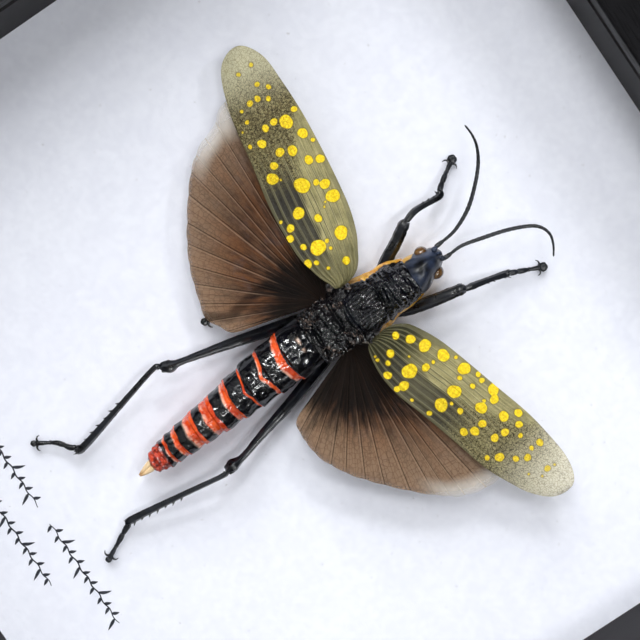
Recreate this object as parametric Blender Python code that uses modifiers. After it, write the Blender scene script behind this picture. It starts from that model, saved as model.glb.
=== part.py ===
"""A spread, dried spotted grasshopper in a square black shadow-box frame.

The box stands on its bottom rail and faces -Y, with the insect's head up.
Metres, +Z up. The origin is at the middle of the bottom of the bounding box.
Inside the box, places are given as x (to the right), d (in front of the white
card) and z (above the middle of the opening).
"""

import math

import bmesh
import bpy
from mathutils import Matrix, Vector

MM = 0.001
GAP = 0.3 * MM  # clearance between pieces that touch

# ---- the box ----
OPENING = 127 * MM  # clear square inside the lip and the liner
RAIL_WIDTH = 12.5 * MM  # face width of the moulding
REBATE = 4.5 * MM  # how far the lip overhangs the rebate
LIP = 5 * MM  # thickness of the lip in front of the glass
GLASS = 2 * MM
LINER_DEPTH = 19 * MM  # spacer strips that hold the glass off the card
CARD = 1.2 * MM
BOARD = 3 * MM
BACK_RECESS = 2 * MM  # from the board's back to the back of the rails
FACE_ROUND = 0.7 * MM  # rounding of the moulding's front edges

OUTER = OPENING + 2 * RAIL_WIDTH
SHEET_SIDE = OPENING + 2 * (REBATE - GAP)  # glass, card and board
RAIL_DEPTH = LIP + GLASS + LINER_DEPTH + CARD + BOARD + 4 * GAP + BACK_RECESS

# ---- fastenings on the back ----
POINT_SIZE = (8 * MM, 0.5 * MM, 10 * MM)  # flex point: width, thickness, length
POINT_IN_SLOT = 3 * MM
POINT_SPACING = 60 * MM
HANGER_LENGTH = 45 * MM
HANGER_HEIGHT = 8 * MM
HANGER_THICK = 0.8 * MM
HANGER_TEETH = 11
NAIL_SPACING = 38 * MM
NAIL_SHANK_R = 0.6 * MM
NAIL_HEAD_R = 1.6 * MM
NAIL_HEAD = 0.6 * MM
NAIL_LENGTH = 8 * MM

HANGER_PROUD = GAP + HANGER_THICK + GAP + NAIL_HEAD
DEPTH = RAIL_DEPTH + HANGER_PROUD
FRONT_Y = -DEPTH / 2
GLASS_Y = FRONT_Y + LIP + GAP
LINER_Y = GLASS_Y + GLASS + GAP
CARD_Y = LINER_Y + LINER_DEPTH + GAP
BOARD_Y = CARD_Y + CARD + GAP
RAIL_BACK_Y = FRONT_Y + RAIL_DEPTH
CENTRE_Z = OUTER / 2

# ---- the insect, in millimetres: x, d, z as the head note says ----
WING_THICK = 0.3
CAGE_SWELL = 1.1  # makes up for what the subdivision takes off a cage of eight sides
END_CREASE = 0.8
LEG_SIDES = 2  # bevel resolution: eight sides round a leg
FEMUR_R = {"fore": (0.55, 0.8, 0.7), "mid": (0.5, 0.75, 0.65), "hind": (0.85, 0.95, 0.55)}
TIBIA_R = {"fore": (0.5, 0.42, 0.5), "mid": (0.45, 0.4, 0.45), "hind": (0.5, 0.45, 0.6)}
TARSUS_R = {"fore": (0.4, 0.3, 0.5), "mid": (0.4, 0.3, 0.5), "hind": (0.42, 0.3, 0.5)}

# Each leg: the femur's line, the tibia's line and the tarsus's line.
LEGS = {
    "fore_left": (
        [(-3.5, 4.2, 19.0), (-4.5, 5.2, 21.8), (-5.7, 6.0, 24.2)],
        [(-6.2, 5.9, 25.4), (-6.6, 5.5, 27.2), (-6.3, 4.0, 31.0)],
        [(-7.4, 3.2, 32.2), (-8.5, 2.2, 33.8), (-9.6, 1.3, 35.6)],
    ),
    "fore_right": (
        [(6.2, 4.0, 17.4), (6.7, 5.0, 21.5), (7.1, 6.0, 25.8)],
        [(7.5, 5.8, 27.2), (8.2, 4.6, 30.0), (9.0, 3.0, 32.6)],
        [(9.6, 2.4, 34.0), (10.5, 1.8, 36.0), (11.4, 1.2, 38.0)],
    ),
    "mid_left": (
        [(-4.9, 2.8, 5.4), (-6.6, 3.4, 4.2), (-8.6, 3.8, 2.6)],
        [(-8.9, 3.6, 1.2), (-8.9, 3.0, -1.6), (-8.9, 2.4, -4.4)],
        [(-9.3, 2.0, -5.7), (-9.8, 1.5, -7.4), (-10.2, 1.2, -9.0)],
    ),
    "mid_right": (
        [(6.4, 2.8, 6.4), (7.8, 3.4, 6.2), (9.4, 3.8, 6.4)],
        [(10.5, 3.6, 5.6), (12.0, 3.0, 3.6), (13.4, 2.4, 1.8)],
        [(14.1, 2.0, 0.8), (15.0, 1.5, -0.4), (15.8, 1.2, -1.4)],
    ),
    "hind_left": (
        [(-3.5, 2.0, 2.4), (-4.9, 3.4, -6.0), (-7.6, 5.3, -16.2)],
        [(-8.5, 5.4, -18.0), (-6.9, 4.2, -27.0), (-4.7, 2.3, -35.8)],
        [(-5.9, 1.8, -37.6), (-7.6, 1.5, -39.0), (-9.3, 1.2, -41.8)],
    ),
    "hind_right": (
        [(5.8, 2.0, 2.0), (7.4, 3.4, -5.6), (9.6, 5.3, -16.4)],
        [(10.1, 5.4, -18.2), (9.7, 4.2, -27.0), (8.8, 2.3, -35.6)],
        [(9.5, 1.8, -37.6), (10.8, 1.5, -40.2), (11.9, 1.2, -42.4)],
    ),
}

ANTENNAE = {
    "left": [(-0.5, 7.0, 27.4), (-0.9, 7.3, 30.2), (-2.4, 7.7, 33.4), (-4.6, 8.1, 36.1),
             (-7.1, 8.5, 38.4), (-9.4, 8.8, 39.7), (-11.3, 8.9, 40.1), (-13.1, 9.0, 40.0)],
    "right": [(1.7, 7.0, 27.4), (1.6, 7.1, 29.8), (2.4, 7.3, 33.2), (3.4, 7.5, 36.7),
              (4.7, 7.7, 39.7), (5.9, 7.8, 41.1), (7.5, 7.9, 41.6), (9.1, 8.0, 41.1), (10.5, 8.0, 40.2)],
}
ANTENNA_R = (0.28, 0.16)

# Cross-sections of the body, from the front end to the back:
# z, middle x, half width, lowest d, highest d.
HEAD = [(27.0, 1.1, 0.9, 2.6, 6.8), (25.9, 1.0, 1.9, 1.0, 8.8), (24.2, 0.9, 2.1, 0.7, 10.0),
        (22.4, 0.8, 2.4, 1.2, 10.4), (21.6, 0.8, 2.2, 2.4, 9.8)]
PRONOTUM = [(21.2, 0.9, 2.6, 2.6, 9.9), (19.6, 1.0, 3.1, 1.6, 10.9), (16.4, 1.1, 3.9, 1.4, 11.2),
            (13.9, 0.9, 4.3, 2.0, 10.6)]
PTEROTHORAX = [(13.5, 0.9, 4.0, 2.2, 9.0), (11.6, 0.8, 4.5, 1.2, 9.6), (7.6, 0.7, 4.7, 1.0, 9.6),
               (4.0, 0.8, 4.2, 1.6, 9.0)]
ABDOMEN = [(3.6, 0.9, 3.5, 2.0, 8.8), (1.4, 0.9, 4.1, 1.2, 9.5), (-5.8, 1.3, 3.9, 1.2, 9.4),
           (-11.9, 2.0, 3.4, 1.3, 8.8), (-19.8, 2.6, 2.7, 1.4, 7.8), (-24.6, 3.0, 2.2, 1.6, 6.8),
           (-28.0, 3.3, 1.2, 2.6, 5.4)]
OVIPOSITOR = [(-28.3, 3.3, 0.75, 2.9, 4.9), (-29.2, 3.5, 0.6, 3.1, 4.6), (-30.4, 3.6, 0.3, 3.6, 4.2)]
EYE_AT = {"left": (-2.2, 7.4, 24.4), "right": (4.0, 7.4, 24.7)}
EYE_R = (0.5, 1.1, 1.1)
GLUE_AT = (0.9, 0.5, 8.0)
GLUE_R = (2.4, 0.2, 2.4)

# Wings lie in planes that tilt down to the tip. Outlines are (along, across) the wing
# from its hinge, with across positive towards the leading edge.
FOREWINGS = {
    "left": {
        "hinge": (-4.2, 8.9, 12.4), "turn": 169.1, "droop": 3.0, "flip": True,
        "outline": [(0.1, -1.6), (0.5, 1.9), (2.9, 3.6), (5.6, 4.5), (9.5, 5.0), (14.7, 4.9),
                    (20.5, 4.5), (25.3, 4.0), (30.5, 3.1), (35.2, 1.9), (37.9, -0.6),
                    (37.3, -3.3), (34.6, -5.1), (28.5, -6.0), (21.0, -5.9), (14.1, -6.0),
                    (8.4, -5.3), (2.2, -4.5)],
    },
    "right": {
        "hinge": (5.9, 8.9, 12.2), "turn": 18.8, "droop": 3.0, "flip": False,
        "outline": [(0.2, -1.4), (0.5, 1.6), (2.3, 3.7), (5.6, 4.4), (12.5, 4.7), (18.3, 4.5),
                    (24.2, 4.2), (28.5, 3.6), (33.3, 2.5), (36.2, 0.8), (36.9, -1.2),
                    (35.6, -3.7), (32.5, -5.3), (29.3, -5.9), (24.8, -6.3), (18.6, -5.9),
                    (12.5, -5.6), (7.9, -5.4), (2.6, -4.4)],
    },
}
HINDWINGS = {
    "left": {
        "hinge": (-4.6, 7.4, 7.6), "turn": 169.1, "droop": 2.4, "flip": True,
        "outline": [(-0.4, -2.6), (0.2, 3.4), (8.0, 5.2), (20.0, 6.0), (29.0, 5.6), (32.4, 2.4),
                    (31.4, -1.8), (28.8, -4.4), (27.6, -6.6), (25.6, -8.8), (22.6, -10.9),
                    (18.5, -13.0), (14.3, -14.8), (10.4, -15.9), (6.5, -16.4), (3.0, -16.6),
                    (1.2, -15.2), (-0.6, -13.4), (-0.9, -8.0)],
    },
    "right": {
        "hinge": (6.2, 7.4, 7.6), "turn": 18.8, "droop": 2.4, "flip": False,
        "outline": [(-0.2, -2.4), (0.0, 3.2), (8.0, 5.0), (20.0, 5.6), (27.5, 3.0), (28.6, -2.6),
                    (26.2, -7.2), (23.4, -9.3), (19.5, -11.5), (12.7, -14.4), (8.6, -15.5),
                    (5.0, -15.8), (1.2, -14.8), (-1.1, -13.0), (-0.9, -7.0)],
    },
}

MATERIALS = {
    "frame_wood": ((0.010, 0.010, 0.012), 0.55, 0.0),
    "liner": ((0.045, 0.043, 0.045), 0.8, 0.0),
    "glass": ((0.95, 0.97, 0.96), 0.03, 0.0),
    "card": ((0.86, 0.87, 0.89), 0.9, 0.0),
    "back_board": ((0.23, 0.15, 0.09), 0.85, 0.0),
    "steel": ((0.55, 0.55, 0.53), 0.35, 1.0),
    "cuticle": ((0.012, 0.013, 0.018), 0.25, 0.0),
    "eye": ((0.11, 0.055, 0.025), 0.2, 0.0),
    "abdomen": ((0.62, 0.11, 0.03), 0.3, 0.0),
    "ovipositor": ((0.62, 0.36, 0.14), 0.4, 0.0),
    "forewing": ((0.25, 0.24, 0.07), 0.5, 0.0),
    "hindwing": ((0.16, 0.08, 0.045), 0.45, 0.0),
    "glue": ((0.7, 0.66, 0.55), 0.3, 0.0),
}


# ---------------------------------------------------------------- helpers
def clear_scene():
    for obj in list(bpy.data.objects):
        bpy.data.objects.remove(obj, do_unlink=True)


def make_collection(name, helper=False):
    collection = bpy.data.collections.new(name)
    bpy.context.scene.collection.children.link(collection)
    collection.hide_render = helper
    return collection


def make_material(name):
    colour, roughness, metallic = MATERIALS[name]
    material = bpy.data.materials.new(name)
    material.use_nodes = True
    shader = material.node_tree.nodes["Principled BSDF"]
    shader.inputs["Base Color"].default_value = (*colour, 1)
    shader.inputs["Roughness"].default_value = roughness
    shader.inputs["Metallic"].default_value = metallic
    if name == "glass":
        shader.inputs["Transmission Weight"].default_value = 1.0
    material.diffuse_color = (*colour, 1)
    return material


def in_box(x, d, z):
    """World place of a point given in millimetres inside the box."""
    return Vector((x * MM, CARD_Y - d * MM, CENTRE_Z + z * MM))


def add_object(name, data, material):
    obj = bpy.data.objects.new(name, data)
    PARTS.objects.link(obj)
    data.materials.append(PAINTS[material])
    return obj


def finished_mesh(name, bm):
    """A mesh from a bmesh, with its faces turned outwards."""
    bmesh.ops.recalc_face_normals(bm, faces=bm.faces)
    mesh = bpy.data.meshes.new(name)
    bm.to_mesh(mesh)
    bm.free()
    return mesh


def add_bmesh(name, bm, material, smooth=False):
    mesh = finished_mesh(name, bm)
    if smooth:
        mesh.shade_smooth()
    return add_object(name, mesh, material)


def add_box(name, size, centre, material):
    bm = bmesh.new()
    bmesh.ops.create_cube(bm, size=1, matrix=Matrix.Diagonal((*size, 1)))
    obj = add_bmesh(name, bm, material)
    obj.location = centre
    return obj


def add_cutter(name, bm):
    """A helper solid for Booleans, kept out of the model."""
    obj = bpy.data.objects.new(name, finished_mesh(name, bm))
    obj.display_type = "WIRE"
    obj.hide_render = True
    CUTTERS.objects.link(obj)
    return obj


def cut(obj, cutter):
    boolean = obj.modifiers.new(cutter.name, "BOOLEAN")
    boolean.operation = "DIFFERENCE"
    boolean.solver = "EXACT"
    boolean.object = cutter


def corner_arc(centre, radius, start, end, steps=3):
    """Points of a rounded corner, from one angle to another in degrees."""
    angles = [math.radians(start + (end - start) * i / steps) for i in range(steps + 1)]
    return [(centre[0] + radius * math.cos(a), centre[1] + radius * math.sin(a)) for a in angles]


# ---------------------------------------------------------------- the box
def rail_section():
    """Outline of the moulding: distance out from the opening, depth behind the front face."""
    r = FACE_ROUND
    return [
        *corner_arc((r, r), r, 180, 270),
        *corner_arc((RAIL_WIDTH - r, r), r, 270, 360),
        (RAIL_WIDTH, RAIL_DEPTH),
        (REBATE, RAIL_DEPTH),
        (REBATE, LIP),
        (0, LIP),
    ]


def mitred_rail_mesh():
    """The bottom rail about the middle of the opening: the section swept along X,
    cut at 45 degrees at each end."""
    bm = bmesh.new()
    overrun = OUTER / 2 + RAIL_WIDTH
    outline = [
        bm.verts.new((-overrun, FRONT_Y + depth, -OPENING / 2 - out))
        for out, depth in rail_section()
    ]
    face = bm.faces.new(outline)
    swept = bmesh.ops.extrude_face_region(bm, geom=[face])
    moved = [v for v in swept["geom"] if isinstance(v, bmesh.types.BMVert)]
    bmesh.ops.translate(bm, vec=(2 * overrun, 0, 0), verts=moved)
    half_gap = GAP / 2 / math.sqrt(2)
    for side in (-1, 1):
        cut_out = bmesh.ops.bisect_plane(
            bm,
            geom=bm.verts[:] + bm.edges[:] + bm.faces[:],
            plane_co=(side * (OPENING / 2 - half_gap), 0, -OPENING / 2),
            plane_no=Vector((side, 0, 1)).normalized(),
            clear_outer=True,
        )
        rim = [e for e in cut_out["geom_cut"] if isinstance(e, bmesh.types.BMEdge)]
        bmesh.ops.holes_fill(bm, edges=rim)
    return finished_mesh("mitred_rail", bm)


def side_turn(side):
    """Turn about the box's middle that takes the bottom side to the named one."""
    return {"bottom": 0, "left": 90, "top": 180, "right": 270}[side]


def about_middle(turn):
    middle = Matrix.Translation((0, 0, CENTRE_Z))
    return middle @ Matrix.Rotation(math.radians(turn), 4, "Y")


def point_centre(along):
    """Middle of a flex point on the bottom rail's inner wall."""
    width, thick, length = POINT_SIZE
    z = -OPENING / 2 - REBATE - POINT_IN_SLOT + length / 2
    return Vector((along, BOARD_Y + BOARD + GAP + thick / 2, z))


def make_frame():
    shared = mitred_rail_mesh()
    width, thick, length = POINT_SIZE
    slot = Matrix.Diagonal((width + 2 * GAP, thick + 2 * GAP, length + 2 * GAP, 1))
    for side in ("bottom", "left", "top", "right"):
        placed = about_middle(side_turn(side))
        rail = add_object(f"rail_{side}", shared.copy(), "frame_wood")
        rail.matrix_world = placed
        for number, along in enumerate((-POINT_SPACING / 2, POINT_SPACING / 2), 1):
            bm = bmesh.new()
            bmesh.ops.create_cube(bm, matrix=Matrix.Translation(point_centre(along)) @ slot)
            cutter = add_cutter(f"slot_{side}_{number}", bm)
            cutter.matrix_world = placed
            cut(rail, cutter)
            point = add_box(f"flex_point_{side}_{number}", POINT_SIZE, (0, 0, 0), "steel")
            point.matrix_world = placed @ Matrix.Translation(point_centre(along))


def make_filling():
    """Glass, liner strips, card and back board, in their order from the front."""
    square = (SHEET_SIDE, SHEET_SIDE)
    for name, front, thick, material in (
        ("glass", GLASS_Y, GLASS, "glass"),
        ("backing_card", CARD_Y, CARD, "card"),
        ("back_board", BOARD_Y, BOARD, "back_board"),
    ):
        size = (square[0], thick, square[1])
        add_box(name, size, (0, front + thick / 2, CENTRE_Z), material)
    strip = REBATE - GAP
    off = OPENING / 2 + strip / 2
    y = LINER_Y + LINER_DEPTH / 2
    for side, sign in (("bottom", -1), ("top", 1)):
        size = (SHEET_SIDE, LINER_DEPTH, strip)
        add_box(f"liner_{side}", size, (0, y, CENTRE_Z + sign * off), "liner")
    for side, sign in (("left", -1), ("right", 1)):
        size = (strip, LINER_DEPTH, OPENING - 2 * GAP)
        add_box(f"liner_{side}", size, (sign * off, y, CENTRE_Z), "liner")


def hanger_outline():
    """Flat plate with a row of saw teeth along the lower edge of its middle."""
    half = HANGER_LENGTH / 2
    toothed = NAIL_SPACING - 10 * MM
    pitch = toothed / HANGER_TEETH
    tooth = pitch * 0.6
    points = [(-half, 0), (-half, HANGER_HEIGHT * 0.6), (-half + 4 * MM, HANGER_HEIGHT),
              (half - 4 * MM, HANGER_HEIGHT), (half, HANGER_HEIGHT * 0.6), (half, 0)]
    for i in range(HANGER_TEETH):
        x = toothed / 2 - i * pitch
        points += [(x, 0), (x - pitch / 2, tooth)]
    return points + [(-toothed / 2, 0)]


def flat_curve(name, loops, half_thick, material, resolution=1, smooth_outline=False):
    """A flat piece from closed outlines in its own XY plane."""
    curve = bpy.data.curves.new(name, "CURVE")
    curve.dimensions = "2D"
    curve.fill_mode = "BOTH"
    curve.extrude = half_thick
    curve.resolution_u = resolution
    for loop in loops:
        spline = curve.splines.new("BEZIER" if smooth_outline else "POLY")
        spline.use_cyclic_u = True
        if smooth_outline:
            spline.bezier_points.add(len(loop) - 1)
            for point, (x, y) in zip(spline.bezier_points, loop):
                point.co = (x, y, 0)
                point.handle_left_type = point.handle_right_type = "AUTO"
        else:
            spline.points.add(len(loop) - 1)
            for point, (x, y) in zip(spline.points, loop):
                point.co = (x, y, 0, 1)
    return add_object(name, curve, material)


def make_hanger():
    hole_r = NAIL_SHANK_R + GAP
    hole = corner_arc((0, 0), hole_r, 0, 330, steps=11)
    mid = HANGER_HEIGHT / 2
    holes = [[(x + sign * NAIL_SPACING / 2, z + mid) for x, z in hole] for sign in (-1, 1)]
    plate = flat_curve("hanger", [hanger_outline(), *holes], HANGER_THICK / 2, "steel")
    base_z = OUTER - RAIL_WIDTH / 2 - mid
    plate_y = RAIL_BACK_Y + GAP + HANGER_THICK / 2
    plate.location = (0, plate_y, base_z)
    plate.rotation_euler = (math.radians(90), 0, 0)
    head_y = plate_y + HANGER_THICK / 2 + GAP
    rail = PARTS.objects["rail_top"]
    facing = Matrix.Rotation(math.radians(-90), 4, "X")
    for side, sign in (("left", -1), ("right", 1)):
        at = Vector((sign * NAIL_SPACING / 2, head_y, base_z + mid))
        nail = add_object(f"hanger_nail_{side}", nail_profile(), "steel")
        nail.matrix_world = Matrix.Translation(at) @ facing
        turn = nail.modifiers.new("Screw", "SCREW")
        turn.steps = turn.render_steps = 12
        turn.use_merge_vertices = True
        turn.merge_threshold = 0.00001
        bm = bmesh.new()
        bmesh.ops.create_cone(
            bm, cap_ends=True, segments=12, radius1=hole_r, radius2=hole_r,
            depth=2 * (NAIL_LENGTH + GAP),
        )
        drill = add_cutter(f"nail_hole_{side}", bm)
        drill.matrix_world = Matrix.Translation(at) @ facing
        cut(rail, drill)


def nail_profile():
    """Half section of a nail: the head's top is at +Z, the point runs down."""
    down = [(0, NAIL_HEAD), (NAIL_HEAD_R * 0.8, NAIL_HEAD), (NAIL_HEAD_R, NAIL_HEAD * 0.5),
            (NAIL_HEAD_R, 0), (NAIL_SHANK_R, 0), (NAIL_SHANK_R, -NAIL_LENGTH + 1.5 * MM),
            (0, -NAIL_LENGTH)]
    mesh = bpy.data.meshes.new("nail_profile")
    edges = [(i, i + 1) for i in range(len(down) - 1)]
    mesh.from_pydata([(x, 0, z) for x, z in down], edges, [])
    return mesh


# ---------------------------------------------------------------- the insect
def tube(name, points, radii, material, resolution=LEG_SIDES):
    """A round limb through the points, its thickness changing evenly from radius to radius."""
    curve = bpy.data.curves.new(name, "CURVE")
    curve.dimensions = "3D"
    curve.bevel_depth = MM
    curve.bevel_resolution = resolution
    curve.use_fill_caps = True
    spline = curve.splines.new("POLY")
    spline.points.add(len(points) - 1)
    last = len(points) - 1
    for i, (point, place) in enumerate(zip(spline.points, points)):
        point.co = (*in_box(*place), 1)
        along = i / last * (len(radii) - 1)
        step = min(int(along), len(radii) - 2)
        point.radius = radii[step] + (radii[step + 1] - radii[step]) * (along - step)
    return add_object(name, curve, material)


def body_cage(name, rings, material, sides=8):
    """A closed body from oval rings, smoothed with Subdivision Surface. Its end loops are
    creased, so that the ends stay where they are."""
    bm = bmesh.new()
    crease = bm.edges.layers.float.new("crease_edge")
    loops = []
    for z, x, half, low, high in rings:
        loop = []
        for i in range(sides):
            a = 2 * math.pi * (i + 0.5) / sides
            d = (low + high) / 2 + CAGE_SWELL * (high - low) / 2 * math.sin(a)
            loop.append(bm.verts.new(in_box(x + CAGE_SWELL * half * math.cos(a), d, z)))
        loops.append(loop)
    for first, second in zip(loops, loops[1:]):
        for i in range(sides):
            j = (i + 1) % sides
            bm.faces.new((first[i], first[j], second[j], second[i]))
    for end in (bm.faces.new(loops[0]), bm.faces.new(loops[-1])):
        for edge in end.edges:
            edge[crease] = END_CREASE
    obj = add_bmesh(name, bm, material, smooth=True)
    smoothing = obj.modifiers.new("Subdivision", "SUBSURF")
    smoothing.levels = smoothing.render_levels = 1
    return obj


def ball(name, centre, radii, material, segments=12):
    bm = bmesh.new()
    scale = Matrix.Diagonal((*[r * MM for r in radii], 1))
    bmesh.ops.create_uvsphere(bm, u_segments=segments, v_segments=8, radius=1, matrix=scale)
    obj = add_bmesh(name, bm, material, smooth=True)
    obj.location = in_box(*centre)
    return obj


def wing(name, spec, material):
    """A thin flat wing in its own plane: local X runs along it, local Y to its leading edge."""
    outline = [(a * MM, b * MM * (-1 if spec["flip"] else 1)) for a, b in spec["outline"]]
    obj = flat_curve(name, [outline], WING_THICK / 2 * MM, material, 3, smooth_outline=True)
    upright = Matrix.Rotation(math.radians(90), 4, "X")
    turned = Matrix.Rotation(math.radians(-spec["turn"]), 4, "Y")
    droop = Matrix.Rotation(math.radians(spec["droop"]), 4, "Z")
    place = Matrix.Translation(in_box(*spec["hinge"]))
    obj.matrix_world = place @ turned @ droop @ upright
    return obj


def make_insect():
    body_cage("head", HEAD, "cuticle")
    body_cage("pronotum", PRONOTUM, "cuticle")
    body_cage("pterothorax", PTEROTHORAX, "cuticle")
    body_cage("abdomen", ABDOMEN, "abdomen")
    body_cage("ovipositor", OVIPOSITOR, "ovipositor", sides=6)
    for side in ("left", "right"):
        ball(f"eye_{side}", EYE_AT[side], EYE_R, "eye")
        tube(f"antenna_{side}", ANTENNAE[side], ANTENNA_R, "cuticle", resolution=1)
        wing(f"forewing_{side}", FOREWINGS[side], "forewing")
        wing(f"hindwing_{side}", HINDWINGS[side], "hindwing")
    for leg, (femur, tibia, tarsus) in LEGS.items():
        pair = leg.split("_")[0]
        tube(f"femur_{leg}", femur, FEMUR_R[pair], "cuticle")
        tube(f"tibia_{leg}", tibia, TIBIA_R[pair], "cuticle")
        tube(f"tarsus_{leg}", tarsus, TARSUS_R[pair], "cuticle")
    ball("glue_dab", GLUE_AT, GLUE_R, "glue")


clear_scene()
PAINTS = {name: make_material(name) for name in MATERIALS}
PARTS = make_collection("insect_shadow_box")
CUTTERS = make_collection("cutters", helper=True)
make_frame()
make_filling()
make_hanger()
make_insect()
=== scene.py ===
import math

import bpy
import numpy as np
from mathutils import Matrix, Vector, noise


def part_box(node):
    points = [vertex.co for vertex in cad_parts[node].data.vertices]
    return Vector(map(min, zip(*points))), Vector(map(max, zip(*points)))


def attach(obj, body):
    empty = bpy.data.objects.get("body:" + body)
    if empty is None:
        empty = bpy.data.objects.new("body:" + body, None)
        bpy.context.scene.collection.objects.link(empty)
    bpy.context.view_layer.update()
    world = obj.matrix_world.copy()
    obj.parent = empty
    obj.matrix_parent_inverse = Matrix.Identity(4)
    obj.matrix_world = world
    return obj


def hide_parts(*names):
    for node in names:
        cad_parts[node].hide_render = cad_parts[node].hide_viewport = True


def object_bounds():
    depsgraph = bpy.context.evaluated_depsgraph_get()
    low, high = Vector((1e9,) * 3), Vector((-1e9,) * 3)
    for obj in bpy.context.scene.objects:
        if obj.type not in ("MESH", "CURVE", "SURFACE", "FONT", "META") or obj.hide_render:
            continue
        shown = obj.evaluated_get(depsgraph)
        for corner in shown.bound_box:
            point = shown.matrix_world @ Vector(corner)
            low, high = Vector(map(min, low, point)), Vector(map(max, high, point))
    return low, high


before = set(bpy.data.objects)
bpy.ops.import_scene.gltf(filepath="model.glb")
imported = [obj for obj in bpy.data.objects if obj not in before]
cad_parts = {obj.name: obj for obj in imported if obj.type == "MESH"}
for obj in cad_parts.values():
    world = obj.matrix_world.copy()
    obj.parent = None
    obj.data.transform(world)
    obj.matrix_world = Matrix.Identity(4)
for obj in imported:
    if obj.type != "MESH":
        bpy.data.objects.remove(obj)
cadLow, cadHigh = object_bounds()

mm = 0.001
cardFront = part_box("backing_card")[0].y  # heights are taken off the card's face
middleX = (cadLow.x + cadHigh.x) / 2
middleZ = (cadLow.z + cadHigh.z) / 2
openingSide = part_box("liner_right")[0].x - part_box("liner_left")[1].x
print("frame loaded, opening", round(openingSide / mm, 1), "mm")


# Specimen points are (across, off the card, up) in millimetres from the middle of the card.

def inBox(points):
    points = np.asarray(points, float)
    placed = np.empty_like(points)
    placed[..., 0] = middleX + points[..., 0] * mm
    placed[..., 1] = cardFront - points[..., 1] * mm
    placed[..., 2] = middleZ + points[..., 2] * mm
    return placed


def ease(value, low, high):
    # 0 below low, 1 above high, smooth between; low may be the larger one
    t = np.clip((value - low) / (high - low), 0, 1)
    return t * t * (3 - 2 * t)


def smoothThrough(points, count):
    # a soft line through given points, in even steps along its length
    points = np.asarray(points, float)
    padded = np.vstack([2 * points[0] - points[1], points, 2 * points[-1] - points[-2]])
    step = np.linspace(0, 1, 16, endpoint=False)[:, None]
    fine = []
    for a, b, c, d in zip(padded, padded[1:], padded[2:], padded[3:]):
        fine.append(0.5 * (2 * b + (c - a) * step + (2 * a - 5 * b + 4 * c - d) * step**2
                           + (3 * b - a - 3 * c + d) * step**3))
    fine = np.vstack(fine + [padded[-2:-1]])
    along = np.r_[0, np.cumsum(np.linalg.norm(np.diff(fine, axis=0), axis=1))]
    wanted = np.linspace(0, along[-1], count)
    return np.stack([np.interp(wanted, along, column) for column in fine.T], 1)


def grain(points, scale, octaves=1, seed=0.0):
    # smooth noise, about -1 to 1, at points in millimetres
    flat = (np.asarray(points, float).reshape(-1, 3) * scale + seed).tolist()
    if octaves == 1:
        values = [noise.noise(p) for p in flat]
    else:
        values = [noise.fractal(p, 0.8, 2.1, octaves) for p in flat]
    return np.array(values).reshape(np.shape(points)[:-1])


def pebbles(points, scale, seed=0.0):
    # distance to the nearest of many scattered seeds, 0 on one and about 1 far from all
    flat = (np.asarray(points, float).reshape(-1, 3) * scale + seed).tolist()
    return np.array([noise.voronoi(p)[0][0] for p in flat]).reshape(np.shape(points)[:-1])


def gridFaces(rows, columns, ring, start=0):
    # ring joins the last column to the first
    index = start + np.arange(rows * columns).reshape(rows, columns)
    if ring:
        index = np.hstack([index, index[:, :1]])
    corners = (index[:-1, :-1], index[:-1, 1:], index[1:, 1:], index[1:, :-1])
    return np.stack(corners, -1).reshape(-1, 4).tolist()


def loft(rings, start=0):
    # closed skin over rings of points, with a middle point at each end
    rings = np.asarray(rings, float)
    rows, columns, _ = rings.shape
    points = np.vstack([rings.reshape(-1, 3), rings[0].mean(0), rings[-1].mean(0)])
    faces = gridFaces(rows, columns, True, start)
    first, last = start + rows * columns, start + rows * columns + 1
    for i in range(columns):
        j = (i + 1) % columns
        faces.append([first, start + j, start + i])
        faces.append([last, first - columns + i, first - columns + j])
    return points, faces


def faceOut(points, faces):
    # turns the faces round if together they enclose a negative volume
    total = 0.0
    for corners in (np.array([f for f in faces if len(f) == n]) for n in (3, 4)):
        for k in range(1, corners.shape[1] - 1 if len(corners) else 0):
            a, b, c = (points[corners[:, i]] for i in (0, k, k + 1))
            total += np.einsum("ij,ij->i", a, np.cross(b, c)).sum()
    return [f[::-1] for f in faces] if total < 0 else faces


def makePiece(name, shells, finish, replaced=(), sharp=40, fields=None):
    # one object from closed shells given in millimetres off the card
    points, faces = [], []
    count = 0
    for shellPoints, shellFaces in shells:
        placed = inBox(shellPoints)
        faces += [[i + count for i in f] for f in faceOut(placed - placed.mean(0), shellFaces)]
        points.append(placed)
        count += len(placed)
    mesh = bpy.data.meshes.new(name)
    mesh.from_pydata(np.vstack(points).tolist(), [], faces)
    for fieldName, values in (fields or {}).items():
        values = np.asarray(values, np.float32)
        kind, key = ("FLOAT", "value") if values.ndim == 1 else ("FLOAT_VECTOR", "vector")
        full = np.zeros((count,) + values.shape[1:], np.float32)
        full[:len(values)] = values
        mesh.attributes.new(fieldName, kind, "POINT").data.foreach_set(key, full.ravel())
    mesh.shade_smooth()
    mesh.set_sharp_from_angle(angle=math.radians(sharp))
    mesh.materials.append(finish)
    piece = bpy.data.objects.new(name, mesh)
    bpy.context.scene.collection.objects.link(piece)
    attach(piece, "root")
    if replaced:
        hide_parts(*replaced)
    return piece


def paint(red, green, blue):
    # a colour card reading, 0 to 255, as the shader wants it
    def linear(c):
        c /= 255
        return c / 12.92 if c <= 0.04045 else ((c + 0.055) / 1.055) ** 2.4
    return (linear(red), linear(green), linear(blue), 1.0)


def inksOf(look):
    return {name: paint(*card) for name, card in look["inks"].items()}


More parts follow.
